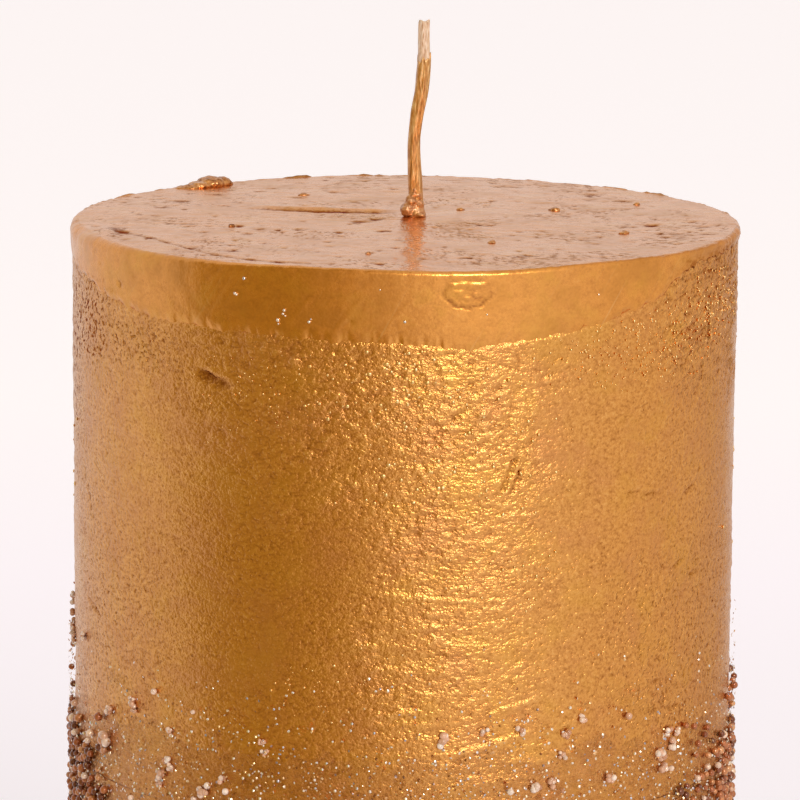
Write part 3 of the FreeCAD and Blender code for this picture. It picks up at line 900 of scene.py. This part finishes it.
def ball_shape(segments, rings):
    """Points and faces of a ball of radius 1."""
    points = [(0.0, 0.0, 1.0)]
    for ring in range(1, rings):
        polar = math.pi * ring / rings
        points += [(math.sin(polar) * math.cos(math.tau * k / segments),
                    math.sin(polar) * math.sin(math.tau * k / segments),
                    math.cos(polar)) for k in range(segments)]
    last = len(points)
    points.append((0.0, 0.0, -1.0))
    faces = []
    for k in range(segments):
        after = (k + 1) % segments
        faces.append((0, 1 + k, 1 + after))
        for ring in range(rings - 2):
            row = 1 + ring * segments
            faces.append((row + k, row + segments + k, row + segments + after, row + after))
        faces.append((last - segments + k, last, last - segments + after))
    return np.array(points), faces


def join_balls(balls, segments, rings):
    """Points and faces of many balls, each a centre and three half sizes."""
    shape, shape_faces = ball_shape(segments, rings)
    points = np.concatenate([shape * half_sizes + centre for centre, half_sizes in balls])
    faces = [tuple(i + n * len(shape) for i in face) for n in range(len(balls)) for face in shape_faces]
    return points, faces


def melted(name, balls, voxel, roughness, size, material):
    """Melts balls, each a centre and three half sizes in millimetres, into one smooth lump. Roughness is
    the depth of its unevenness, and size how far apart the bumps are."""
    points, faces = join_balls([(np.array(c), np.array(h)) for c, h in balls], 32, 20)
    piece = write_piece(name, points / MM, faces, material)
    join = piece.modifiers.new("join", "REMESH")
    join.mode = "VOXEL"
    join.voxel_size = voxel
    relax = piece.modifiers.new("relax", "SMOOTH")
    relax.iterations = 5
    done = keep_result(piece)
    count = len(done.vertices)
    places, normals = np.empty(count * 3), np.empty(count * 3)
    done.vertices.foreach_get("co", places)
    done.vertices.foreach_get("normal", normals)
    places, normals = places.reshape(-1, 3), normals.reshape(-1, 3)
    bumps = [roughness * (noise.noise(Vector(p) / size) + 0.4 * noise.noise(Vector(p) * 2.5 / size))
             for p in places]
    done.vertices.foreach_set("co", ((places + normals * np.array(bumps)[:, None]) * MM).ravel())
    done.materials.clear()
    done.materials.append(material)
    done.shade_smooth()
    return piece


drip_low, drip_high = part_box("rim_drip")
drip_centre = (drip_low + drip_high) / 2 / MM
drip_angle = math.atan2(drip_centre.y, drip_centre.x)
drip_radius = math.hypot(drip_centre.x, drip_centre.y)
# each ball of the drip: millimetres along the rim to the left, inwards, up from the top, and its half sizes
DRIP_BALLS = [
    (-0.2, 0.0, 0.15, 1.8, 1.2, 0.86), (-1.7, 0.1, 0.12, 1.3, 1.1, 0.72), (1.5, 0.0, 0.0, 1.5, 1.1, 0.55),
    (2.9, 0.0, -0.1, 1.1, 0.9, 0.38), (4.0, -0.3, -0.15, 0.9, 0.7, 0.32), (-2.5, 0.2, -0.1, 0.8, 0.8, 0.42),
    (0.5, 0.4, 0.35, 0.8, 0.7, 0.50), (-0.8, -0.2, 0.3, 0.7, 0.7, 0.50),
]


def drip_ball(left, inward, up, half_along, half_in, half_up):
    """One ball of the drip, as its centre and three half sizes."""
    angle = drip_angle + left / drip_radius
    reach = drip_radius - inward
    half_round = max(half_along, half_in)
    return (reach * math.cos(angle), reach * math.sin(angle), BODY_HEIGHT + up), (
        half_round * 0.95, (half_along + half_in) / 2, half_up)


drip = melted("rim_drip_lump", [drip_ball(*ball) for ball in DRIP_BALLS], voxel=0.10, roughness=0.10,
              size=0.8,
              material=drip_gold)
settle(drip, "gold_wax", "rim_drip")

WICK_X, WICK_Y = 1.2, 2.8
foot = melted("wick_foot_lump", [
    ((WICK_X, WICK_Y, BODY_HEIGHT + 0.3), (1.15, 1.1, 0.9)),
    ((WICK_X, WICK_Y, BODY_HEIGHT + 1.1), (0.95, 0.9, 1.2)),
    ((WICK_X - 0.95, WICK_Y - 0.4, BODY_HEIGHT + 0.75), (0.85, 0.9, 0.9)),
    ((WICK_X - 0.6, WICK_Y - 0.5, BODY_HEIGHT + 1.6), (0.6, 0.6, 0.9)),
    ((WICK_X - 0.3, WICK_Y - 0.3, BODY_HEIGHT + 2.6), (0.55, 0.5, 0.9)),
    ((WICK_X + 0.55, WICK_Y - 0.6, BODY_HEIGHT + 0.15), (0.6, 0.7, 0.35)),
    ((WICK_X, WICK_Y, BODY_HEIGHT + 2.3), (0.78, 0.72, 0.9)),
], voxel=0.08, roughness=0.12, size=0.5, material=lump_gold)
settle(foot, "gold_wax", "wick_foot")

# grains of wax in the hammered skin, with more pigment and less wax: paler, so that each shows one small
# glint
bright_gold = mottled("bright_gold_grain", (1.25, 1.25, 1.25), 2.0, [(0.35, "#e2ac62"), (0.65, "#fbdca4")],
                      Metallic=1.0, Roughness=0.27)
# where the grains are: degrees, reach, height, reach, how many, least and greatest radius
GRAIN_ZONES = [
    (45, 24, 142, 5.0, 300, 0.09, 0.19), (66, 20, 145, 5.0, 180, 0.10, 0.20),
    (3, 20, 139, 5.0, 150, 0.09, 0.26), (10, 22, 131, 7.0, 120, 0.08, 0.24),
    (-24, 16, 138, 6.0, 60, 0.08, 0.14), (16, 18, 119, 8.0, 60, 0.08, 0.20),
    (-12, 16, 106, 6.0, 40, 0.08, 0.16), (180, 110, 128, 16.0, 520, 0.12, 0.30),
]
GRAIN_LIFT = 0.08
grain_chance = random.Random(17)
grains = []
for degrees, reach, height, reach_up, many, small, large in GRAIN_ZONES:
    for _ in range(many):
        radius = small + (large - small) * grain_chance.random() ** 2.5
        turn = degrees + reach * (grain_chance.random() + grain_chance.random() - 1)
        up = height + reach_up * (grain_chance.random() + grain_chance.random() - 1)
        if up < BODY_HEIGHT - edge_depth((turn + 180) % 360 - 180) + 0.2:
            # a grain lies flat on the wall, so it is thin along the direction that the wall faces
            wide, low = radius * grain_chance.uniform(0.9, 1.5), radius * 0.55
            facing = abs(math.sin(math.radians(turn)))
            half_sizes = (wide + (low - wide) * facing, low + (wide - low) * facing, radius)
            grains.append((np.array(wall_point(turn, up, GOLD_RADIUS + GRAIN_LIFT)), np.array(half_sizes)))
points, faces = join_balls(grains, segments=8, rings=6)
wax_grains = write_piece("wax_grains", points, faces, bright_gold)
settle(wax_grains, "gold_wax", "gold_dip")

# spatters: x, y and radius
SPATTERS = [
    (6.3, 7.5, 0.45), (17.3, 8.3, 0.6), (-12, 19, 0.5), (-19.5, -6, 0.4), (9.5, -17.5, 0.45),
    (24.5, -9, 0.5), (-4, -26, 0.35), (27, 14, 0.4),
]
chance = random.Random(7)
spatter_balls = []
for x, y, radius in SPATTERS:
    base = BODY_HEIGHT - 0.02 + float(top_shape(np.array([x]), np.array([y]))[0][0])
    spatter_balls.append(((x, y, base), (radius, radius * 0.9, radius * 0.6)))
    for _ in range(3):
        turn, away = chance.uniform(0, math.tau), radius * chance.uniform(0.7, 1.3)
        part = radius * chance.uniform(0.3, 0.55)
        spatter_balls.append(((x + away * math.cos(turn), y + away * math.sin(turn), base),
                              (part, part, part * 0.5)))
spatters = melted("top_spatters", spatter_balls, voxel=0.08, roughness=0.05, size=0.3, material=drip_gold)
settle(spatters, "gold_wax", "wax_spatters")

# %% [markdown]
# ## The wick
#
# A cotton wick, stiff with wax, that runs through the whole candle and leans a little above it. It is a
# tube swept along its route. Its section is a flattened round with lengthwise grooves between the yarns,
# and the grooves turn slowly. Gold wax coats it almost to the tip, and the coat's upper edge is ragged, so
# the pale end shows the cotton.

# %% Wick
# twisted cotton yarn soaked in wax: pale, fibrous along its length, and a little translucent at the cut tip
cotton = mottled("waxed_cotton", (7.0, 7.0, 1.1), 3.0,
                 [(0.32, "#b98a66"), (0.5, "#dcbfa4"), (0.68, "#f0dfd0")],
                 bump=0.08, Roughness=0.5, Subsurface_Weight=0.25,
                 Subsurface_Radius=(0.0012, 0.0008, 0.0005),
                 Coat_Weight=0.3, Coat_Roughness=0.25)
# gold wax wiped thin over the yarns, with a painted highlight on their backs and painted shade, dull brown,
# in the grooves between them
wick_gold = mottled("wick_gold_wax", (4.5, 4.5, 0.7), 4.0,
                    [(0.30, "#a06a38"), (0.5, "#d69c5c"), (0.66, "#f4cc96")],
                    bump=0.16, rough=(0.5, 0.28), noise_values={"Roughness": 0.6}, Metallic=1.0,
                    Coat_Weight=0.6,
                    Coat_Roughness=0.2)

WICK_ROUTE = [
    (0, 0, 0.8), (0.6, 1.4, 76), (1.2, 2.8, 149), (1.2, 2.8, 153), (0.95, 2.8, 160.5), (1.25, 2.7, 163.5),
    (1.75, 2.6, 166.5), (2.0, 2.55, 169.5), (2.3, 2.5, WICK_TIP),
]
# half width of the wick along its visible part: height, millimetres
WICK_WIDTHS = [
    (0, 0.62), (152, 0.78), (156, 0.74), (161, 0.63), (164, 0.72), (168, 0.74), (172, 0.70), (175, 0.66),
]


def wick_line(height):
    """The middle of the wick at this height, on a smooth curve through its route."""
    heights = [z for _, _, z in WICK_ROUTE]
    i = max(1, min(len(heights) - 3, int(np.searchsorted(heights, height)) - 1))
    p = [np.array(WICK_ROUTE[k]) for k in (i - 1, i, i + 1, i + 2)]
    t = min(1.0, max(0.0, (height - p[1][2]) / (p[2][2] - p[1][2])))
    slope_in = (p[2] - p[0]) / (p[2][2] - p[0][2]) * (p[2][2] - p[1][2])
    slope_out = (p[3] - p[1]) / (p[3][2] - p[1][2]) * (p[2][2] - p[1][2])
    curve = ((2 * t ** 3 - 3 * t ** 2 + 1) * p[1] + (t ** 3 - 2 * t ** 2 + t) * slope_in
             + (3 * t ** 2 - 2 * t ** 3) * p[2] + (t ** 3 - t ** 2) * slope_out)
    return curve[0], curve[1]


def wick_section(height, angle, extra):
    """How far the wick's surface is from its middle."""
    wide = np.interp(height, [h for h, _ in WICK_WIDTHS], [w for _, w in WICK_WIDTHS])
    twist = 0.5 + 0.10 * (height - BODY_HEIGHT)
    flat = wide * (1.0 - 0.20 * math.sin(angle - 0.25) ** 2)
    groove = 0.075 * abs(math.sin(2.5 * (angle - twist))) - 0.05
    wander = 0.05 * noise.noise(Vector((2.2 * math.cos(angle), 2.2 * math.sin(angle), height * 0.35)))
    return flat + groove + wander + extra


def sweep_wick(name, heights, extra, edge, sides, material):
    """A closed tube round the wick's line. Edge gives how far each side's end runs above the last height."""
    points = []
    for height in heights:
        x, y = wick_line(height)
        for side in range(sides):
            angle = side / sides * math.tau
            lift = edge(angle) * max(0.0, 1 - (heights[-1] - height) / 2.0)
            reach = wick_section(height, angle, extra)
            points.append((x + reach * math.cos(angle), y + reach * math.sin(angle), height + lift))
    faces = grid_faces(len(heights), sides)
    for row, height in ((0, heights[0]), (len(heights) - 1, heights[-1])):
        x, y = wick_line(height)
        ring = [row * sides + side for side in range(sides)]
        middle_z = sum(points[i][2] for i in ring) / sides
        inner = len(points)
        for i in ring:
            px, py, pz = points[i]
            points.append((x + (px - x) * 0.6, y + (py - y) * 0.6, (pz + middle_z) / 2))
        points.append((x, y, middle_z - 0.05 if row else middle_z))
        for side in range(sides):
            after = (side + 1) % sides
            outer = (ring[side], ring[after], inner + after, inner + side)
            tip = (inner + side, inner + after, inner + sides)
            faces += [outer, tip] if row else [outer[::-1], tip[::-1]]
    return write_piece(name, points, faces, material)


def notched(angle):
    """The cut end of the wick: three low lobes, left by the yarns."""
    return 0.16 * math.sin(3 * angle + 0.6) + 0.10 * math.sin(5 * angle)


def ragged_coat(angle):
    """The upper edge of the gold on the wick."""
    return 0.45 * math.sin(angle + 0.5) + 0.25 * math.sin(3 * angle) + 0.2 * math.sin(7 * angle + 1)


hidden = list(np.linspace(0.8, BODY_HEIGHT - 3, 40))
standing = list(np.linspace(BODY_HEIGHT - 2, WICK_TIP - 0.2, 120))
wick = sweep_wick("cotton_wick", hidden + standing, extra=-0.02, edge=notched, sides=48, material=cotton)
settle(wick, "cotton_wick", "wick")
coated = list(np.linspace(BODY_HEIGHT - 1, COAT_TOP - 0.3, 110))
wick_skin = sweep_wick("wick_gold_coat", coated, extra=0.07, edge=ragged_coat, sides=64, material=wick_gold)
settle(wick_skin, "gold_wax", "wick_coat")

# %% [markdown]
# ## Glue, beads and glitter
#
# The band is a coat of clear glue with seed beads and fine silver glitter shaken onto it. The glue stops at
# an uneven line. Beads cover the lower part and thin out upwards, except at the sides, where they climb in
# clumps. Geometry Nodes scatter them: points with a least distance between them, fewer where a field says
# so, and a small ball on each. Every bead gets a random number that the glass reads as its colour. A bead
# has sixty-four triangles, because there are thousands of them, and a flake of glitter has eight.

# %% Glue
# dried clear glue: a thin, glossy film that softens the gold under it, and thickest at its edge. Its brown
# is partly the glue's own tint and partly painted shade between the beads.
glue = mottled("clear_glue", (0.625, 0.625, 0.625), 3.0, [(0.35, "#8c5228"), (0.65, "#c08a54")], bump=0.5,
               Roughness=0.18, IOR=1.48)
tree = glue.node_tree
at_edge = add(tree, "Attribute", attribute_name="edge").outputs["Fac"]
feed(tree, tree.nodes["Principled BSDF"], Alpha=add(tree, "MapRange", at_edge, {3: 0.14, 4: 0.34}))


def build_glue(columns=360, rows=60):
    """A thin wall of glue with a wandering upper edge, which bends in to meet the wax."""
    points = []
    for share in np.linspace(0.0, 1.0, rows):
        bend = max(0.0, (share - 0.97) / 0.03)
        for column in range(columns):
            angle = column / columns * math.tau
            top = GLUE_TOP + 3.5 + 2.6 * wavy(angle, 14) + 1.4 * wavy(angle, 50, 4.0)
            height = 0.3 + (top - 0.3) * share
            lift = 0.05 * noise.noise(Vector((8 * math.cos(angle), 8 * math.sin(angle), height * 0.3)))
            reach = GLUE_RADIUS + lift - 0.35 * bend
            points.append((reach * math.cos(angle), reach * math.sin(angle), height))
    piece = write_piece("glue_film", points, grid_faces(rows, columns), glue)
    tell(piece, "edge", np.repeat(np.clip((np.linspace(0.0, 1.0, rows) - 0.985) / 0.015, 0.0, 1.0), columns))
    close_wall(piece, CORE_RADIUS + 0.3)
    return piece


glue_film = build_glue()
settle(glue_film, "clear_glue", "glue_coat")


# %% Bead and glitter materials
def bead_glass(name, stops, roughness, **values):
    """Coloured glass. Each bead's own number, "tone", picks its colour from these stops."""
    material, tree, shader, in_mm = new_material(name, IOR=1.52, **values)
    tone = add(tree, "Attribute", attribute_name="tone").outputs["Fac"]
    ramp = add(tree, "ValToRGB", tone)
    ramp.color_ramp.interpolation = "CONSTANT"
    set_ramp(ramp, stops)
    cloud = add(tree, "TexNoise", {"Vector": in_mm, "Scale": 1 / 0.5, "Detail": 1.0})
    shade = add(tree, "MapRange", cloud, 0.35, 0.65, 0.72, 1.0)
    color = add(tree, "Mix", shade, {6: linear("#5a2a14"), 7: ramp}, data_type="RGBA")
    feed(tree, shader, Base_Color=color.outputs[2])
    rough = add(tree, "MapRange", tone, {3: roughness, 4: roughness + 0.15})
    feed(tree, shader, Roughness=rough)
    return material


# seed beads lined with copper leaf: browns with a metallic depth and one hard highlight each
seed_glass = bead_glass("copper_lined_glass", [
    (0.0, "#a65c32"), (0.26, "#b66c3e"), (0.48, "#864424"), (0.62, "#ca8452"), (0.74, "#703619"),
    (0.92, "#dca070"), (0.98, "#f4d4bc")], 0.09, Metallic=0.3, Coat_Weight=0.45, Coat_Roughness=0.04)
# crumbs of unlined pink glass: milky and pale, so that they stand out from the seeds
pale_glass = bead_glass("pale_pink_glass",
                        [(0.0, "#f4d6c0"), (0.4, "#e4b292"), (0.7, "#fdebdc"), (0.82, "#cc8e66")],
                        0.12, Transmission_Weight=0.12, Coat_Weight=0.8, Coat_Roughness=0.04)
# aluminised film cut into flakes: cold silver for the most part, and some flakes painted gold and brown as a
# painted reflection of the wax
silver, tree, shader, in_mm = new_material("silver_glitter", Metallic=1.0)
tone = add(tree, "Attribute", attribute_name="tone").outputs["Fac"]
silver_and_painted_reflection = set_ramp(add(tree, "ValToRGB", tone), [
    (0.0, "#cbcddb"), (0.12, "#efe4dc"), (0.38, "#f6eae0"), (0.5, "#ecc69c"), (0.68, "#c88e56"),
    (0.88, "#94603a"),
    (1.0, "#bcc2d6")])
feed(tree, shader, Base_Color=silver_and_painted_reflection)
silver_rough = add(tree, "MapRange", tone, {3: 0.18, 4: 0.34})
feed(tree, shader, Roughness=silver_rough)


# %% Scatter tree
def scatter_tree(name, flakes):
    """Scatters beads, or glitter flakes, over a stretch of the wall, ending in one plain mesh."""
    tree, given = new_tree(name, {
        "Left": ("Float", -1.0), "Right": ("Float", 1.0), "Low": ("Float", 1.5), "High": ("Float", 110.0),
        "Radius": ("Float", 38.2), "Layer": ("Float", 0.5), "Gap": ("Float", 1.0), "Size": ("Float", 0.4),
        "Full Height": ("Float", 80.0), "Side Rise": ("Float", 12.0), "Thinning": ("Float", 1.0),
        "Fade": ("Float", 24.0), "Clumping": ("Float", 11.0), "Clump Size": ("Float", 2.2),
        "Seed": ("Int", 1), "Material": ("Material", None)})
    grid, place, outward = rolled_grid(tree, 61, 61, given["Left"], given["Right"], given["Low"],
                                       given["High"],
                                       given["Radius"], 0.0)
    wall = add(tree, "GeometryNodeSetPosition", {
        "Geometry": grid, "Position": add(tree, "VectorMath", place, {3: MM}, operation="SCALE")})
    spot = add(tree, "VectorMath", add(tree, "GeometryNodeInputPosition"), {3: 1 / MM}, operation="SCALE")
    axes = add(tree, "SeparateXYZ", spot)
    # the band climbs at both sides and behind, highest in a narrow column on the left, and in clumps
    lean = add(tree, "MapRange", axes.outputs[0], 26.0, 32.0, 0.0, 0.76)
    stack = add(tree, "MapRange", axes.outputs[0], -33.6, -31.6, 1.0, 0.0)
    column = add(tree, "MapRange", axes.outputs[0], -37.3, -36.4, 0.80, 0.76)
    lean_left = add(tree, "Math", stack, column, operation="MULTIPLY")
    both = add(tree, "Math", lean, lean_left, operation="MAXIMUM")
    behind = add(tree, "MapRange", axes.outputs[1], 6.0, 26.0, 0.0, 0.78)
    side = add(tree, "Math", both, behind, operation="MAXIMUM")
    rise = add(tree, "Math", side, given["Side Rise"], operation="MULTIPLY")
    clump_pitch = add(tree, "Math", 1.0, given["Clump Size"], operation="DIVIDE")
    clump = add(tree, "TexNoise", {"Vector": spot, "Scale": clump_pitch, "Detail": 2.0})
    sink = add(tree, "Math", given["Clumping"], -1.0, operation="MULTIPLY")
    clump_rise = add(tree, "MapRange", clump, 0.3, 0.7, sink, given["Clumping"])
    reach = add(tree, "Math", rise, clump_rise, operation="ADD")
    level = add(tree, "Math", axes.outputs[2], reach, operation="SUBTRACT")
    over = add(tree, "Math", level, given["Full Height"], operation="SUBTRACT")
    share = add(tree, "MapRange", over, 0.0, given["Fade"], 1.0, 0.0)
    density = add(tree, "Math", share, given["Thinning"], operation="POWER")
    points = add(tree, "GeometryNodeDistributePointsOnFaces", {
        "Mesh": wall, "Distance Min": add(tree, "Math", given["Gap"], MM, operation="MULTIPLY"),
        "Density Max": 4.0e6, "Density Factor": density, "Seed": given["Seed"]}, distribute_method="POISSON")
    lift = add(tree, "FunctionNodeRandomValue", {3: given["Layer"], "Seed": 3}, data_type="FLOAT")
    raised = add(tree, "Math", lift.outputs[1], MM, operation="MULTIPLY")
    push = add(tree, "VectorMath", points.outputs["Normal"], {3: raised}, operation="SCALE")
    settled = add(tree, "GeometryNodeSetPosition", {"Geometry": points.outputs["Points"], "Offset": push})
    if flakes:
        ball = add(tree, "GeometryNodeMeshCone", {
            "Vertices": 5, "Side Segments": 1, "Fill Segments": 1, "Radius Top": 0.0, "Radius Bottom": 1.0,
            "Depth": 0.3})
        shape = ball.outputs["Mesh"]
        tilt = add(tree, "FunctionNodeRandomValue", (-0.6, -0.6, -3.1), (0.6, 0.6, 3.1), {"Seed": 5},
                   data_type="FLOAT_VECTOR")
        turned = add(tree, "FunctionNodeRotateRotation", points.outputs["Rotation"],
                     add(tree, "FunctionNodeEulerToRotation", tilt.outputs[0]), rotation_space="LOCAL")
        rotation = turned.outputs[0]
        small, large = 0.65, 1.35
    else:
        ball = add(tree, "GeometryNodeMeshUVSphere", {"Segments": 8, "Rings": 5, "Radius": 1.0})
        shape = add(tree, "GeometryNodeSetShadeSmooth", {"Geometry": ball.outputs["Mesh"]}).outputs[0]
        rotation = points.outputs["Rotation"]
        small, large = 0.8, 1.3
    spread = add(tree, "FunctionNodeRandomValue", {"Seed": 8}, data_type="FLOAT")
    spread.inputs[2].default_value = small
    spread.inputs[3].default_value = large
    width = add(tree, "Math", given["Size"], MM, operation="MULTIPLY")
    scale = add(tree, "Math", spread.outputs[1], width, operation="MULTIPLY")
    copies = add(tree, "GeometryNodeInstanceOnPoints", {
        "Points": settled, "Instance": shape, "Rotation": rotation, "Scale": scale})
    chance = add(tree, "FunctionNodeRandomValue", {"Seed": 11}, data_type="FLOAT")
    told = add(tree, "GeometryNodeStoreNamedAttribute", {
        "Geometry": copies, "Name": "tone", "Value": chance.outputs[1]}, domain="INSTANCE")
    end_tree(tree, told, given["Material"])
    return tree


# %% The band
SECTORS = 5
bead_scatter = scatter_tree("bead_scatter", flakes=False)
for sector in range(SECTORS):
    left = -math.pi + sector * math.tau / SECTORS
    bed = run_tree(f"seed_beads_{sector + 1}", bead_scatter, Left=left, Right=left + math.tau / SECTORS,
                   Low=BAND_FOOT + 0.5, High=108.0, Radius=38.0, Layer=0.35, Gap=0.93, Size=0.42,
                   Full_Height=71.0,
                   Side_Rise=26.0, Thinning=1.5, Fade=6.5, Clumping=6.0, Seed=21 + sector,
                   Material=seed_glass)
    settle(bed, "glass_beads", "bead_crust")
upper_beads = run_tree("pale_beads", bead_scatter, Left=-math.pi, Right=math.pi, Low=BAND_FOOT + 1.0,
                       High=104.0,
                       Radius=38.25, Layer=0.4, Gap=2.3, Size=0.33, Full_Height=76.0, Side_Rise=2.0,
                       Thinning=1.6,
                       Seed=40, Material=pale_glass)
settle(upper_beads, "glass_beads", "bead_crust")
flake_scatter = scatter_tree("glitter_scatter", flakes=True)
for half in range(2):
    flakes = run_tree(f"silver_glitter_{half + 1}", flake_scatter, Left=-math.pi + half * math.pi,
                      Right=half * math.pi, Low=82.0, High=112.0, Radius=37.95, Layer=0.55, Gap=0.29,
                      Size=0.14,
                      Full_Height=92.5, Side_Rise=0.0, Thinning=1.5, Fade=13.0, Clumping=9.0, Clump_Size=1.5,
                      Seed=60 + half, Material=silver)
    settle(flakes, "glass_beads", "bead_crust")

# %% [markdown]
# ## Stray beads
#
# Above the band a few beads caught singly or in small clumps. Those at the front have their places in a
# short list, since a clump by chance never sits right, and the rest round the back are scattered.

# %% Stray beads
# degrees, height, radius of the bead, all in millimetres but the first
STRAY_BEADS = [
    (-72.1, 105.8, 0.45), (-45.8, 103.2, 0.36), (-52.2, 101.3, 0.50), (-51.6, 100.5, 0.42),
    (-59.4, 99.1, 0.52), (-60.5, 95.7, 0.85), (-61.5, 94.6, 0.6), (-42.5, 99.0, 0.46), (-43.0, 95.7, 0.50),
    (-42.2, 95.0, 0.42), (-44.4, 94.0, 0.58), (-45.0, 93.0, 0.5), (-30.9, 94.8, 0.46), (-30.4, 93.6, 0.4),
    (-34.9, 92.9, 0.66), (-34.0, 93.9, 0.4), (-23.6, 99.6, 0.42), (-23.2, 98.7, 0.5), (6.4, 100.8, 0.74),
    (13.6, 101.6, 0.44), (19.8, 101.4, 0.46), (31.4, 102.0, 0.5), (28.0, 100.6, 0.56), (27.5, 98.2, 0.46),
    (22.7, 94.8, 0.6), (25.4, 95.2, 0.54), (37.0, 94.7, 0.6), (40.7, 101.4, 0.4), (48.7, 96.1, 0.74),
    (52.2, 96.8, 0.6), (53.5, 98.0, 0.5), (51.0, 98.4, 0.46), (49.8, 94.4, 0.6), (-87.0, 108.4, 0.42),
    (-87.5, 107.4, 0.45), (-87.2, 106.4, 0.5), (-86.6, 105.3, 0.46), (-86.9, 104.3, 0.5),
    (-83.5, 104.6, 0.48), (-84.0, 103.6, 0.5),
]
# a bead of this radius or more is made of crumbs of glass
CRUMB_RADIUS = 0.42
CRUMBS = 6
STRAY_COUNT = 170


def give_tones(piece, count, chance, reach=1.0):
    """Gives each of the piece's balls its own number, which its material reads."""
    tones = [reach * chance.random() for _ in range(count)]
    tell(piece, "tone", np.repeat(tones, len(piece.data.vertices) // count))


stray_chance = random.Random(12)
placed = list(STRAY_BEADS)
while len(placed) < STRAY_COUNT:
    degrees = stray_chance.uniform(94, 266)
    height = 96 + 12 * stray_chance.random() ** 1.7
    placed.append((degrees, height, stray_chance.uniform(0.34, 0.5)))
stray_balls = []
for degrees, height, radius in placed:
    crumbs = CRUMBS if radius >= CRUMB_RADIUS else 1
    off = radius * 0.8 if crumbs > 1 else 0.0
    for _ in range(crumbs):
        part = radius * stray_chance.uniform(0.42, 0.7) if crumbs > 1 else radius
        turn = degrees + math.degrees(off / GOLD_RADIUS) * stray_chance.uniform(-1, 1)
        up = height + off * stray_chance.uniform(-1, 1)
        place = wall_point(turn, up, GOLD_RADIUS + part * stray_chance.uniform(0.6, 1.3))
        stray_balls.append((np.array(place), np.array([part] * 3)))
points, faces = join_balls(stray_balls, segments=10, rings=7)
strays = write_piece("stray_beads", points, faces, pale_glass)
give_tones(strays, len(stray_balls), stray_chance)
settle(strays, "glass_beads", "loose_beads")

# silver specks that stuck to the wet dip: degrees, height
SPECKS = [
    (-26.8, 150.4), (-28.5, 148.7), (-28.2, 148.6), (-19.7, 147.3), (-19.9, 146.9), (-19.5, 146.7),
    (-20.8, 146.2), (-20.7, 145.8), (-15.2, 146.5), (-15.5, 146.2), (-4.0, 149.9), (0.0, 146.5),
    (13.2, 147.2), (33.0, 148.6), (-112.0, 147.8), (-140.0, 149.0), (128.0, 148.0), (165.0, 147.0),
]
speck_balls = [(np.array(wall_point(degrees, height, BODY_RADIUS + 0.02)),
                np.array([0.10, 0.10, 0.10]) + 0.12 * stray_chance.random()) for degrees, height in SPECKS]
points, faces = join_balls(speck_balls, segments=8, rings=5)
specks = write_piece("silver_specks", points, faces, silver)
give_tones(specks, len(speck_balls), stray_chance, 0.4)
settle(specks, "glass_beads", "loose_beads")

# %% [markdown]
# ## Underneath
#
# The base shows the undipped white wax, a round paper label with nothing on it, and the tinned steel tab
# that holds the wick. Their CAD shapes are right, so they only get materials.

# %% Underside materials
# cast paraffin: white, waxy and slightly translucent, with a faint mottle from its crystals
paraffin = mottled("white_paraffin", (0.2, 0.2, 0.2), 5.0, [(0.35, "#ebe2d3"), (0.65, "#f8f3ea")], bump=0.15,
                   noise_values={"Roughness": 0.65}, Roughness=0.42, IOR=1.44, Subsurface_Weight=0.3,
                   Subsurface_Radius=(0.004, 0.003, 0.0025))
# uncoated paper: matt, with short fibres that just show
paper = mottled("uncoated_paper", (2.5, 2.5, 2.5), 4.0, [(0.3, "#e9e2d6"), (0.7, "#f6f1e8")], bump=0.03,
                noise_values={"Distortion": 1.5}, Roughness=0.75)
# tinned sheet steel: a grey mirror with fine rolling lines along x
steel = mottled("bright_tinplate", (0.3, 9.0, 1.0), 4.0, [(0.3, "#b9bbbd"), (0.7, "#d9dadb")],
                rough=(0.4, 0.26),
                Metallic=1.0)

for node, material in (("wax_core", paraffin), ("base_label", paper), ("wick_tab", steel)):
    kept = bpy.data.objects[node]
    kept.material_slots[0].material = material
    print(f"{node} keeps its CAD shape, in {material.name}")
